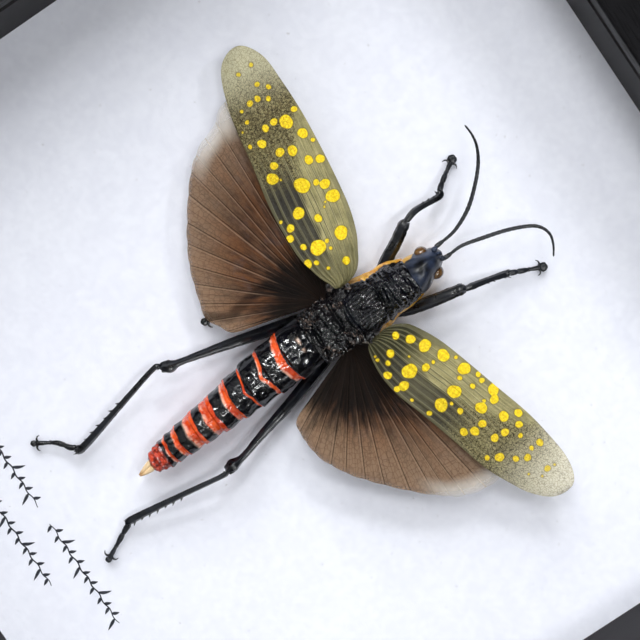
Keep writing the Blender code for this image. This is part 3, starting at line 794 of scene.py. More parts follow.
# fan is where the rays start, folds are the main rays as shares of the rim's length
hindwings = {
    "left": {
        "hinge": (-4.6, 7.4, 7.6), "turn": 169.1, "mirror": -1, "fan": (-1.6, 0.8), "sooty": 0.0,
        "rim": [(0.2, 3.4), (8.0, 5.2), (20.0, 6.0), (29.0, 5.6), (32.4, 2.4), (31.4, -1.8),
                (28.8, -4.4), (27.6, -6.6), (25.6, -8.8), (22.6, -10.9), (18.5, -13.0), (14.3, -14.8),
                (10.4, -15.9), (6.5, -16.4), (3.0, -16.6), (1.2, -15.2), (-0.6, -13.4), (-0.9, -8.0)],
        "folds": (0.0, 0.15, 0.30, 0.40, 0.46, 0.50, 0.535, 0.57, 0.602, 0.642, 0.694, 0.732, 0.772,
                  0.807, 0.845, 0.88, 0.92, 0.96, 1.0),
        "legLine": [(-6.5, 5.2), (-9.3, 3.0), (-9.7, 1.8), (-9.5, -1.3), (-9.2, -3.7), (-9.0, -5.2),
                    (-10.9, -8.0)],
    },
    "right": {
        "hinge": (6.2, 7.4, 7.6), "turn": 18.8, "mirror": 1, "fan": (-1.6, 0.8), "sooty": 1.0,
        "rim": [(0.0, 3.2), (8.0, 5.0), (20.0, 5.6), (27.5, 3.0), (28.6, -2.6), (26.2, -7.2),
                (23.4, -9.3), (19.5, -11.5), (12.7, -14.4), (8.6, -15.5), (5.0, -15.8), (1.2, -14.8),
                (-1.1, -13.0), (-0.9, -7.0)],
        "folds": (0.0, 0.15, 0.29, 0.38, 0.43, 0.475, 0.52, 0.55, 0.579, 0.629, 0.682, 0.722, 0.764,
                  0.797, 0.84, 0.865, 0.89, 0.94, 1.0),
    },
}


def addHindwing(side, finish):
    wing = hindwings[side]
    look = hindwingLook
    rim = smoothThrough(wing["rim"], look["columns"])
    along = np.linspace(0, 1, look["columns"])[None, :]
    out = np.linspace(0.02, 1, look["rows"])[:, None]
    number = np.interp(along, wing["folds"], np.arange(len(wing["folds"])))
    number = number + 0.03 * np.sin(9 * out + 5 * along) * (1 - out)
    # the rim scallops a little between folds
    scallop = 1 + 0.006 * np.abs(np.sin(math.pi * number)) * ease(out, 0.7, 1)
    fan = np.array(wing["fan"])
    flat = fan + (rim[None] - fan) * (out * scallop)[..., None]
    s, t = flat[..., 0], flat[..., 1]
    reach = np.hypot(rim[:, 0] - fan[0], rim[:, 1] - fan[1])[None, :] * out

    fold = np.abs(np.mod(number, 2) - 1)  # 0 in a valley, 1 on a ridge
    fine = np.abs(np.mod(number * 3, 2) - 1)
    lift = look["pleat"] * (fold - 0.5) * np.minimum(1, reach / 9) * (1 + 0.3 * np.sin(number * 1.7))
    lift = lift + look["finePleat"] * (fine - 0.5) * np.minimum(1, reach / 12)
    place = np.stack([s, t, 0 * s], -1)
    lift = lift + look["billow"] * grain(place, 0.16, 2, 9.0) + look["crumple"] * grain(place, 1.1, 2, 2.0)

    turn = math.radians(wing["turn"])
    ahead = np.array((math.cos(turn), 0, math.sin(turn)))
    across = np.array((-math.sin(turn), 0, math.cos(turn))) * wing["mirror"]
    height = wing["hinge"][1] - s * math.sin(math.radians(look["droop"])) + lift
    upper = np.array(wing["hinge"]) * (1, 0, 1) + s[..., None] * ahead + t[..., None] * across
    upper = upper + height[..., None] * (0, 1, 0)
    thick = look["thick"] * np.clip((1 - out) * 20, 0.4, 1) + 0 * s
    under = upper - thick[..., None] * (0, 1, 0)

    edge = (1 - out) * np.hypot(rim[:, 0] - fan[0], rim[:, 1] - fan[1])[None, :]
    clearEnd = np.maximum(ease(edge, 3.6, 0.8) * ease(along, 0.62, 0.53), ease(s, 25, 29.5))
    legShade = 0 * s
    if "legLine" in wing:  # painted shade: where the leg lies beneath, the membrane's colour is darkened
        line = smoothThrough(wing["legLine"], 40)
        gap = np.hypot(upper[..., 0, None] - line[:, 0], upper[..., 2, None] - line[:, 1]).min(-1)
        legShade = ease(gap, 1.15, 0.35)
    fields = {
        "wingPlace": place.reshape(-1, 3),
        "foldAt": number.ravel(),
        "reach": reach.ravel(),
        "outward": (out + 0 * s).ravel(),
        "rimEdge": edge.ravel(),
        "clearEnd": clearEnd.ravel(),
        "legPaintedShade": legShade.ravel(),
        "sooty": (wing["sooty"] + 0 * s).ravel(),
        "rearShare": (ease(along, 0.60, 0.95) + 0 * s).ravel(),
    }
    fields = {key: np.concatenate([value, value]) for key, value in fields.items()}
    makePiece(side + "Hindwing", [closedSheet(upper, under)], finish,
              ["hindwing_" + side], 60, fields)


def hindwingGround(tree, rays, place, outward, sooty, inks):
    # streaked brown, paler towards the rim
    streak = speckle(tree, rays, 2.2, 4, 0.7)
    cloud = speckle(tree, place, 0.28, 4, 0.6, 0.5)
    rust = speckle(tree, rays, 0.55, 3, 0.6)
    brown = blendOf(tree, between(tree, streak, 0.3, 0.7), inks["brown"], inks["brownLight"])
    brown = blendOf(tree, between(tree, rust, 0.44, 0.66, 0, 0.75), brown, inks["rust"])
    # painted grey-purple sheen in cloudy patches
    brown = blendOf(tree, between(tree, cloud, 0.52, 0.72, 0, 0.5), brown, inks["paintedSheen"])
    fromRoot = work(tree, "ADD", outward, work(tree, "MULTIPLY", sooty, 0.12))
    outer = between(tree, fromRoot, 0.55, 1.05, 0, 0.75)
    return blendOf(tree, outer, brown, inks["rim"]), cloud


def hindwingSoot(tree, rays, reach, sooty):
    # black towards the fan's root, with a broken edge
    ragged = work(tree, "MULTIPLY", work(tree, "SUBTRACT", speckle(tree, rays, 1.1, 3, 0.6), 0.5), 9.0)
    sootReach = work(tree, "ADD", reach, ragged)
    shifted = work(tree, "SUBTRACT", sootReach, work(tree, "MULTIPLY", sooty, 3.0))
    soot = between(tree, shifted, *hindwingLook["sootFade"], 1, 0)
    rear = work(tree, "MULTIPLY", fieldOf(tree, "rearShare"), sooty)
    sootRear = between(tree, sootReach, *hindwingLook["rearSootFade"], 1, 0)
    return work(tree, "MAXIMUM", soot, work(tree, "MULTIPLY", sootRear, rear))


def rayLines(tree, number, outward):
    # a dark line on every fold, a pale one beside it and finer ones between
    phase = work(tree, "FRACT", work(tree, "ADD", number, 0.5))
    offset = work(tree, "SUBTRACT", phase, 0.5)
    gap = work(tree, "ABSOLUTE", offset)
    narrow = between(tree, outward, 0.15, 1.0, 0.11, 0.035)
    line = work(tree, "SUBTRACT", 1.0, work(tree, "DIVIDE", gap, narrow), True)
    beside = work(tree, "SUBTRACT", offset, work(tree, "MULTIPLY", narrow, 2.0))
    paleGap = work(tree, "ABSOLUTE", beside)
    pale = work(tree, "SUBTRACT", 1.0, work(tree, "DIVIDE", paleGap, narrow), True)
    phaseFine = work(tree, "FRACT", work(tree, "MULTIPLY", number, 3.0))
    gapFine = work(tree, "ABSOLUTE", work(tree, "SUBTRACT", phaseFine, 0.5))
    return line, pale, between(tree, gapFine, 0.02, 0.09, 1, 0)


def hindwingFinish():
    inks = inksOf(hindwingLook)
    finish, tree, shader = newFinish("hindwingMembrane", 0.38, Specular_IOR_Level=0.08)
    place = fieldOf(tree, "wingPlace", "Vector")
    number = fieldOf(tree, "foldAt")
    reach = fieldOf(tree, "reach")
    outward = fieldOf(tree, "outward")
    sooty = fieldOf(tree, "sooty")
    # a place that runs along the rays, for streaks that follow them
    rays = addNode(tree, "CombineXYZ", X=work(tree, "MULTIPLY", number, 1.6),
                   Y=work(tree, "MULTIPLY", reach, 0.16)).outputs[0]
    colour, cloud = hindwingGround(tree, rays, place, outward, sooty, inks)
    # painted shade of the leg beneath, dark in the membrane's colour
    colour = blendOf(tree, work(tree, "MULTIPLY", fieldOf(tree, "legPaintedShade"), 0.6), colour, inks["legPaintedShade"])
    # ladder of cross veins
    cross = addNode(tree, "CombineXYZ", X=work(tree, "MULTIPLY", number, 3.0),
                    Y=work(tree, "MULTIPLY", reach, 1.25)).outputs[0]
    rungs = between(tree, cellLines(tree, cross, 1.0, 0.75), 0.02, 0.1, 1, 0)
    colour = blendOf(tree, work(tree, "MULTIPLY", rungs, 0.3), colour, inks["rung"])
    line, pale, lineFine = rayLines(tree, number, outward)
    colour = blendOf(tree, work(tree, "MULTIPLY", lineFine, 0.34), colour, inks["fineRay"])
    colour = blendOf(tree, work(tree, "MULTIPLY", pale, 0.4), colour, inks["paleRay"])
    colour = blendOf(tree, work(tree, "MULTIPLY", line, 0.9), colour, inks["ray"])
    soot = hindwingSoot(tree, rays, reach, sooty)
    colour = blendOf(tree, work(tree, "MULTIPLY", soot, 0.93), colour, inks["soot"])
    clearEnd = fieldOf(tree, "clearEnd")
    colour = blendOf(tree, work(tree, "MULTIPLY", clearEnd, 0.85), colour, inks["clear"])
    plugIn(tree, shader.inputs["Base Color"], colour)
    # how much shows through
    thin = between(tree, outward, 0.55, 1.0, 0.0, 0.16)
    thin = work(tree, "ADD", thin, between(tree, fieldOf(tree, "rimEdge"), 0, 1.1, 0.22, 0))
    thin = work(tree, "ADD", thin, work(tree, "MULTIPLY", clearEnd, 0.5))
    thin = work(tree, "MULTIPLY", thin, work(tree, "SUBTRACT", 1.0, work(tree, "MULTIPLY", line, 0.8)))
    thin = work(tree, "MULTIPLY", thin, work(tree, "SUBTRACT", 1.0, soot), True)
    plugIn(tree, shader.inputs["Alpha"], work(tree, "SUBTRACT", 1.0, thin))
    plugIn(tree, shader.inputs["Roughness"], between(tree, cloud, 0.4, 0.7, 0.5, 0.3))
    ridge = work(tree, "ADD", line, work(tree, "MULTIPLY", work(tree, "ADD", lineFine, rungs), 0.35))
    ridge = work(tree, "ADD", ridge, speckle(tree, rays, 3.0, 3, 0.6))
    plugIn(tree, shader.inputs["Normal"], relief(tree, ridge, 0.00013, 0.6))
    return finish


hindwingSkin = hindwingFinish()
for wingSide in hindwings:
    addHindwing(wingSide, hindwingSkin)
print("hindwings made")


# a ring is (up, across, half width, lowest, highest); the last two are heights off the card

bodyShapes = {
    "head": [(26.8, 0.75, 1.0, 3.0, 7.4), (26.2, 0.8, 1.45, 1.6, 8.6), (25.2, 0.95, 1.8, 1.0, 9.5),
             (24.2, 1.0, 2.1, 0.7, 10.2), (23.0, 1.25, 2.65, 0.8, 10.7), (21.8, 1.4, 3.0, 1.2, 10.7),
             (20.6, 1.4, 3.0, 2.0, 10.3)],
    "pronotum": [(21.6, 1.35, 3.1, 2.4, 9.9), (20.4, 1.35, 3.5, 1.9, 10.6), (18.5, 1.2, 3.95, 1.5, 11.0),
                 (16.5, 1.15, 4.0, 1.4, 11.1), (14.6, 1.25, 4.5, 1.6, 10.9), (12.8, 1.25, 4.8, 2.0, 10.5),
                 (11.6, 1.25, 4.4, 2.6, 10.2)],
    "thorax": [(13.2, 0.9, 3.6, 2.2, 8.6), (11.6, 0.8, 4.3, 1.2, 9.3), (7.6, 0.8, 4.4, 1.0, 9.5),
               (4.0, 0.8, 4.1, 1.6, 9.2), (2.6, 0.9, 3.8, 1.8, 9.0)],
    "abdomen": [(3.6, 0.9, 3.4, 2.0, 8.8), (1.4, 0.9, 3.85, 1.2, 9.3), (-5.8, 1.3, 3.65, 1.2, 9.2),
                (-11.9, 1.95, 3.1, 1.3, 8.6), (-19.8, 2.6, 2.45, 1.4, 7.6), (-24.6, 3.0, 2.05, 1.6, 6.6),
                (-27.0, 3.2, 1.6, 2.2, 5.8), (-28.4, 3.35, 1.0, 2.9, 5.0)],
}


def bodyGrid(rings, rows, columns, roundStart, roundEnd, power=2.3):
    # skin points, outward directions, place along in millimetres and angle from the right side
    line = smoothThrough(rings, 500)
    up = np.linspace(line[0, 0], line[-1, 0], rows)
    values = [np.interp(-up, -line[:, 0], line[:, k])[:, None] for k in range(1, 5)]
    across, half, low, high = values
    fromStart, toEnd = np.abs(up - up[0]), np.abs(up - up[-1])
    shrink = np.ones(rows)
    for distance, length in ((fromStart, roundStart), (toEnd, roundEnd)):
        if length:
            t = np.clip(distance / length, 0, 1)
            shrink = shrink * np.sqrt(np.maximum(1 - (1 - t) ** 2, 0.0015))
    shrink = shrink[:, None]
    angle = np.linspace(0, 2 * math.pi, columns, endpoint=False)[None, :]
    c, s = np.cos(angle), np.sin(angle)
    c2, s2 = np.sign(c) * np.abs(c) ** (2 / power), np.sign(s) * np.abs(s) ** (2 / power)
    deep = (high - low) / 2
    points = np.stack([across + half * shrink * c2, (high + low) / 2 + deep * shrink * s2,
                       up[:, None] + 0 * c], -1)
    outward = np.stack([c2 / half, s2 / deep, 0 * c2 + 0 * half], -1)
    outward = outward / np.linalg.norm(outward, axis=-1, keepdims=True)
    return points, outward, up[:, None] + 0 * angle, angle + 0 * up[:, None], shrink


def blackCuticle(name, roughness, castAndSheen, bumpDepth, bumpScale):
    # polished black horn with a coloured cast, finely pitted; on the head and limbs the cast is lightened
    # into a painted sheen
    finish, tree, shader = newFinish(name, roughness, Specular_IOR_Level=0.5)
    place = objectPlace(tree)
    cloud = speckle(tree, place, 420, 4, 0.6)
    colour = blendOf(tree, between(tree, cloud, 0.3, 0.7), paint(6, 6, 8), castAndSheen)
    plugIn(tree, shader.inputs["Base Color"], colour)
    gloss = between(tree, cloud, 0.3, 0.7, roughness - 0.04, roughness + 0.07)
    plugIn(tree, shader.inputs["Roughness"], gloss)
    pits = speckle(tree, place, bumpScale, 3, 0.6)
    plugIn(tree, shader.inputs["Normal"], relief(tree, pits, bumpDepth, 0.1))
    return finish, tree, shader, colour


def withPoles(*grids):
    # fields for a loft: one value a point, then the two end points
    return [np.concatenate([g.ravel(), [g[0].mean(), g[-1].mean()]]) for g in grids]


def ballShell(centre, radii, rows=36, columns=48, lumps=0.0, seed=0.0):
    tilt = np.linspace(0.04, math.pi - 0.04, rows)[:, None]
    spin = np.linspace(0, 2 * math.pi, columns, endpoint=False)[None, :]
    waist = np.sin(tilt)
    unit = np.stack([waist * np.cos(spin), waist * np.sin(spin), np.cos(tilt) + 0 * spin], -1)
    swell = 1 + lumps * grain(unit, 1.6, 2, seed)[..., None] if lumps else 1
    return loft(np.asarray(centre, float) + unit * np.asarray(radii, float) * swell)


headLook = {
    "rows": 110, "columns": 160, "bosses": 14, "bossRadius": (0.16, 0.3),
    "eyes": {"left": (-0.82, 6.6, 24.1, 1.12), "right": (2.8, 6.5, 24.45, 1.15)},
    "sockets": {"left": (-0.25, 7.3, 26.1), "right": (1.55, 7.3, 26.3)}, "socketRadii": (0.42, 0.5, 0.5),
    # horn is the blue-black cuticle lightened into a painted sheen like the dome's
    "inks": {"horn": (44, 54, 76), "cheek": (206, 158, 66)},
}


def addHead():
    inks = inksOf(headLook)
    points, outward, up, angle, shrink = bodyGrid(bodyShapes["head"], headLook["rows"],
                                                  headLook["columns"], 1.6, 0.4, 2.05)
    top = np.sin(angle)
    lift = 0.05 * grain(points, 0.5, 2, 3.0)
    # a rough brow between the antennae and a faint seam along the crown
    front = ease(up, 25.3, 26.3)
    lift = lift + 0.16 * front * grain(points, 1.9, 3, 7.0)
    crown = np.exp(-((points[..., 0] - 0.95) / 0.12) ** 2) * ease(top, 0.6, 0.9) * ease(up, 22, 23)
    lift = lift - 0.03 * crown
    points = points + outward * (lift * shrink)[..., None]
    # a pale line low on the cheeks, wider on the left
    edgeLevel = np.where(points[..., 0] < 1.0, np.interp(up, (20.6, 22.6, 23.4), (8.6, 8.2, 4.0)),
                         np.interp(up, (20.6, 23.2, 24.2), (6.8, 6.2, 4.0)))
    yellow = ease(points[..., 1] + 0.3 * grain(points, 1.4, 2, 5.0), edgeLevel + 0.2, edgeLevel - 0.2)
    shells = [loft(points)]
    pole = withPoles(yellow)[0]
    for at in headLook["sockets"].values():
        shells.append(ballShell(at, headLook["socketRadii"], 16, 20, 0.2, 2.0))
    draw = np.random.default_rng(5)
    for number in range(headLook["bosses"]):  # small horny bosses round the sockets
        at = (0.7 + draw.uniform(-0.95, 1.15), draw.uniform(6.6, 8.3), 26.25 + draw.uniform(-0.35, 0.3))
        size = draw.uniform(*headLook["bossRadius"])
        shells.append(ballShell(at, (size, size, size * 1.1), 10, 12, 0.3, number))
    finish, tree, shader, colour = blackCuticle("headHorn", 0.34, inks["horn"], 0.00001, 9000)
    colour = blendOf(tree, fieldOf(tree, "yellow"), colour, inks["cheek"])
    plugIn(tree, shader.inputs["Base Color"], colour)
    makePiece("headShell", shells, finish, ["head"], 50, {"yellow": pole})


eyeLook = {
    "inks": {"amber": (98, 68, 36), "amberDeep": (48, 28, 12), "rimDark": (24, 15, 10), "fleck": (132, 98, 56)},
}


def eyeFinish():
    # amber, darker towards the rim that turns away from the front, with the faint net of the facets
    inks = inksOf(eyeLook)
    finish, tree, shader = newFinish("eyeLens", 0.18, Coat_Weight=0.8, Coat_Roughness=0.06)
    place = objectPlace(tree)
    facet = cellLines(tree, place, 9000, 0.2)
    rimward = fieldOf(tree, "rimward")
    colour = blendOf(tree, between(tree, rimward, 0.0, 0.55), inks["amber"], inks["amberDeep"])
    colour = blendOf(tree, between(tree, rimward, 0.45, 0.85), colour, inks["rimDark"])
    colour = blendOf(tree, between(tree, speckle(tree, place, 1500, 3), 0.45, 0.7, 0, 0.6), colour,
                     inks["fleck"])
    plugIn(tree, shader.inputs["Base Color"], colour)
    plugIn(tree, shader.inputs["Normal"], relief(tree, facet, 0.00002, 0.35))
    return finish


def addEyes():
    finish = eyeFinish()
    for side, (x, off, z, radius) in headLook["eyes"].items():
        turned = -1 if side == "left" else 1
        points, faces = ballShell((x, off, z), (radius * 0.95, radius * 1.15, radius), 48, 64)
        lean = (points - (x, off, z)) @ np.array((turned * 0.55, 0.8, 0.0))
        rimward = np.clip(1 - lean / radius, 0, 1.4)
        makePiece(side + "Eye", [(points, faces)], finish, ["eye_" + side], 60,
                  {"rimward": rimward})


# furrows are (up the body, depth); skirt is how much the top is narrower than the lower border
pronotumLook = {
    "rows": 190, "columns": 290, "skirt": 0.19, "middle": 1.25, "rearReach": 2.7,
    "wart": 0.34, "wartSmall": 0.11, "wrinkle": 0.10, "comb": 0.22, "combPitch": 0.56,
    "furrows": ((20.0, 0.14), (17.4, 0.26), (15.6, 0.22)),
    "inks": {"horn": (12, 12, 18), "border": (196, 132, 38), "borderPale": (236, 184, 84)},
}


def domes(points, scale, seed):
    # rounded bumps that meet in sharp valleys
    return np.clip(1 - (pebbles(points, scale, seed) / 0.85) ** 2, 0, 1)


def addPronotum():
    look = pronotumLook
    inks = inksOf(look)
    points, outward, up, angle, shrink = bodyGrid(bodyShapes["pronotum"], look["rows"], look["columns"],
                                                  0.5, 0.9, 2.4)
    middle = look["middle"]
    level = points[..., 1]
    # the lower border flares, and the rear border reaches back over the wing roots
    narrow = 1 - look["skirt"] * ease(level, 5.4, 7.8)
    points[..., 0] = middle + (points[..., 0] - middle) * narrow
    side = np.clip((points[..., 0] - middle) / 4.6, -1, 1)
    points[..., 2] -= look["rearReach"] * ease(up, 16.5, 11.6) * (1 - side ** 2) * ease(level, 5, 9)
    place = points.copy()
    z = place[..., 2]
    x = place[..., 0] - middle
    dorsal = ease(np.sin(angle), -0.05, 0.3)
    front = ease(z, 15.4, 16.4)
    rear = 1 - front
    # coarse polished warts and crosswise wrinkles in front
    warped = place + 0.5 * grain(place, 0.6, 2, 3.0)[..., None]
    wart = domes(warped * (1, 1, 1.25), 0.72, 5.0)
    wartSmall = domes(warped, 1.5, 11.0)
    bent = z + 0.35 * x * np.sign(x) * 0.5 + 0.5 * grain(place, 0.5, 2, 9.0)
    wrinkle = np.cos(2 * math.pi * bent / 1.25)
    rough = look["wart"] * wart + look["wartSmall"] * wartSmall + look["wrinkle"] * wrinkle
    lift = front * dorsal * rough
    # ridges running lengthwise behind, in the middle; wrinkles to the sides
    sway = 0.42 * grain(place * (1, 1, 0.5), 0.9, 2, 8.0) + 0.10 * (z - 12.0)
    comb = 0.5 + 0.5 * np.cos(2 * math.pi * (x + 0.6 * sway) / look["combPitch"])
    centre = ease(np.abs(x), 3.0, 2.0) * ease(z, 10.4, 11.4)
    flank = (1 - centre) * (0.24 * wart + 0.12 * wartSmall)
    lift = lift + rear * dorsal * (look["comb"] * comb * centre + flank)
    # two cross furrows, the midline and a collar that curves round behind
    for furrow, depth in look["furrows"]:
        at = furrow - 0.05 * x ** 2 + 0.3 * grain(place * (1, 0, 0), 0.5, 1, furrow)
        lift = lift - depth * np.exp(-((z - at) / 0.2) ** 2) * dorsal
    collar = 10.7 - 1.2 * (1 - side ** 2) + 0.5
    lift = lift + 0.20 * np.exp(-((z - collar) / 0.22) ** 2) * dorsal
    lift = lift - 0.22 * np.exp(-((z - collar - 0.55) / 0.2) ** 2) * dorsal
    lift = lift + 0.12 * grain(place, 0.5, 2, 1.0)
    points = points + outward * (lift * shrink)[..., None]
    # pale lower border, broad on the left and thin on the right
    broad = np.where(x < 0, np.interp(z, (11.5, 13.5, 15, 18, 20, 21.6), (5.4, 7.6, 7.6, 6.7, 6.6, 8.4)),
                     np.interp(z, (11.5, 13.0, 14.2, 15.2, 20, 21.6), (5.0, 8.0, 8.0, 6.6, 6.8, 7.4)))
    yellow = ease(level + 0.45 * grain(place, 0.9, 3, 6.0), broad + 0.2, broad - 0.2)
    finish, tree, shader, colour = blackCuticle("pronotumHorn", 0.13, inks["horn"], 0.00002, 3200)
    speck = speckle(tree, objectPlace(tree), 900, 3)
    gold = blendOf(tree, between(tree, speck, 0.35, 0.65), inks["border"], inks["borderPale"])
    plugIn(tree, shader.inputs["Base Color"], blendOf(tree, fieldOf(tree, "yellow"), colour, gold))
    makePiece("pronotumShield", [loft(points)], finish, ["pronotum"], 60,
              {"yellow": withPoles(yellow)[0]})


# plates and furrows across the back: where up the body, half length; hinges: centre, radii
thoraxLook = {
    "rows": 150, "columns": 250, "bits": 80, "middle": 0.8,
    "lump": 0.42, "lumpSmall": 0.16, "crease": 0.22, "plate": 0.4, "furrow": 0.45,
    "plates": ((10.2, 1.5), (6.5, 1.6)), "furrows": (8.4, 4.4),
    "hinges": (((-4.1, 8.3, 10.2), (0.8, 0.4, 0.7)), ((5.0, 8.3, 10.8), (1.1, 0.45, 0.8)),
               ((-3.4, 8.4, 11.4), (0.9, 0.5, 0.5)), ((5.9, 8.9, 10.7), (0.5, 0.35, 0.3))),
    "inks": {"horn": (15, 13, 15), "skinDark": (58, 49, 44), "skin": (158, 136, 124)},
}


def addThorax():
    look = thoraxLook
    inks = inksOf(look)
    points, outward, up, angle, shrink = bodyGrid(bodyShapes["thorax"], look["rows"], look["columns"],
                                                  0.8, 0.8, 2.4)
    dorsal = ease(np.sin(angle), 0.0, 0.5)
    warped = points + 0.6 * grain(points, 0.6, 2, 2.0)[..., None]
    lump = domes(warped, 0.62, 8.0)
    lumpSmall = domes(warped, 1.4, 3.0)
    crease = 1 - np.abs(grain(points, 0.7, 2, 15.0)) * 3
    x = points[..., 0] - look["middle"]
    lift = (look["lump"] * lump + look["lumpSmall"] * lumpSmall) * (0.4 + 0.6 * dorsal)
    lift = lift + look["crease"] * np.clip(crease, 0, 1) ** 2 * dorsal
    # a raised plate on each segment, parted by furrows
    for centre, half in look["plates"]:
        shield = np.exp(-((up - centre) / half) ** 4) * np.exp(-(x / 1.9) ** 4)
        lift = lift + look["plate"] * shield * dorsal
    for furrow in look["furrows"]:
        lift = lift - look["furrow"] * np.exp(-((up - furrow) / 0.25) ** 2) * dorsal
    points = points + outward * (lift * shrink)[..., None]
    # pale dried skin on the raised creases at the sides, partly a painted highlight where they catch the
    # light
    pale = ease(crease, 0.35, 0.9) * ease(np.abs(x), 1.0, 2.6) * dorsal
    shells = [loft(points)]
    tags = [withPoles(pale)[0]]
    # torn bits of plate and dried membrane about the wing roots
    draw = np.random.default_rng(21)
    for number in range(look["bits"]):
        side = -1 if number % 2 else 1
        plate = number % 5 == 0
        start = np.array((look["middle"] + side * draw.uniform(1.2, 3.4), draw.uniform(8.7, 9.6),
                          draw.uniform(4.4, 11.2)))
        lean = draw.uniform(-0.7, 0.7) + 0.12 * (start[2] - 8.0)
        run = np.array((side * math.cos(lean), draw.uniform(-0.35, -0.05), math.sin(lean)))
        long = draw.uniform(0.9, 1.4) if plate else draw.uniform(1.0, 2.0)
        bend = np.array((draw.uniform(-0.2, 0.2), draw.uniform(0.0, 0.25), draw.uniform(-0.3, 0.3)))
        path = smoothThrough([start, start + run * long / 2 + bend, start + run * long], 16)
        wide = draw.uniform(0.18, 0.3) if plate else draw.uniform(0.06, 0.14)
        radii = wide * np.sin(np.linspace(0.35, math.pi - 0.25, 16)) ** 0.7
        bit = tube(path, radii, 12, 0.45 if plate else 0.8, 3, 0.3, number, 0.3, number * 3.1)
        shells.append(bit)
        tags.append(np.full(len(bit[0]), draw.uniform(0, 0.8) ** 2))
    # hinge plates that close the gap at each forewing root
    for number, (centre, radii) in enumerate(look["hinges"]):
        shells.append(ballShell(centre, radii, 20, 28, 0.5, number * 2.0))
        tags.append(np.full(len(shells[-1][0]), 0.25))
    finish, tree, shader, colour = blackCuticle("thoraxHorn", 0.18, inks["horn"], 0.00003, 3000)
    place = objectPlace(tree)
    # pale skin on the bits and creases, with a painted highlight on the creases
    bone = blendOf(tree, between(tree, speckle(tree, place, 900, 3), 0.35, 0.65),
                   inks["skinDark"], inks["skin"])
    paleSkinAndGlint = work(tree, "MULTIPLY", fieldOf(tree, "pale"),
                between(tree, speckle(tree, place, 600, 4, 0.7), 0.46, 0.66))
    plugIn(tree, shader.inputs["Base Color"], blendOf(tree, paleSkinAndGlint, colour, bone))
    makePiece("thoraxPlates", shells, finish, ["pterothorax"], 60,
              {"pale": np.concatenate(tags)})


# bands: where up the body, thickness, how far the midline dips towards the tail, how far it sags
abdomenLook = {
    "rows": 420, "columns": 220,
    "bands": [(-1.4, 1.2, 0.1, 0.8), (-5.1, 0.62, 0.65, 0.3), (-8.7, 0.36, 0.4, 0.3),
              (-12.0, 1.25, 0.1, 0.3), (-15.7, 2.05, 0.1, 0.2), (-19.2, 1.85, 0.1, 0.2),
              (-22.2, 0.95, 0.1, 0.2), (-24.2, 0.6, 0.1, 0.1)],
    "start": 3.2, "endRings": [-25.6, -26.7, -27.7], "redFrom": -25.3,
    "flare": 0.30, "facet": 0.17, "keel": 0.14, "dent": 0.13,
    # edge is the pale pink of the ivory line and of the painted highlight on the band edges
    "inks": {
        "horn": (9, 9, 15), "sheen": (20, 20, 32), "band": (196, 54, 16), "bandBright": (228, 88, 32),
        "bandDry": (238, 128, 74), "edge": (244, 206, 184), "crust": (96, 24, 14), "crustRed": (198, 66, 40),
    },
}


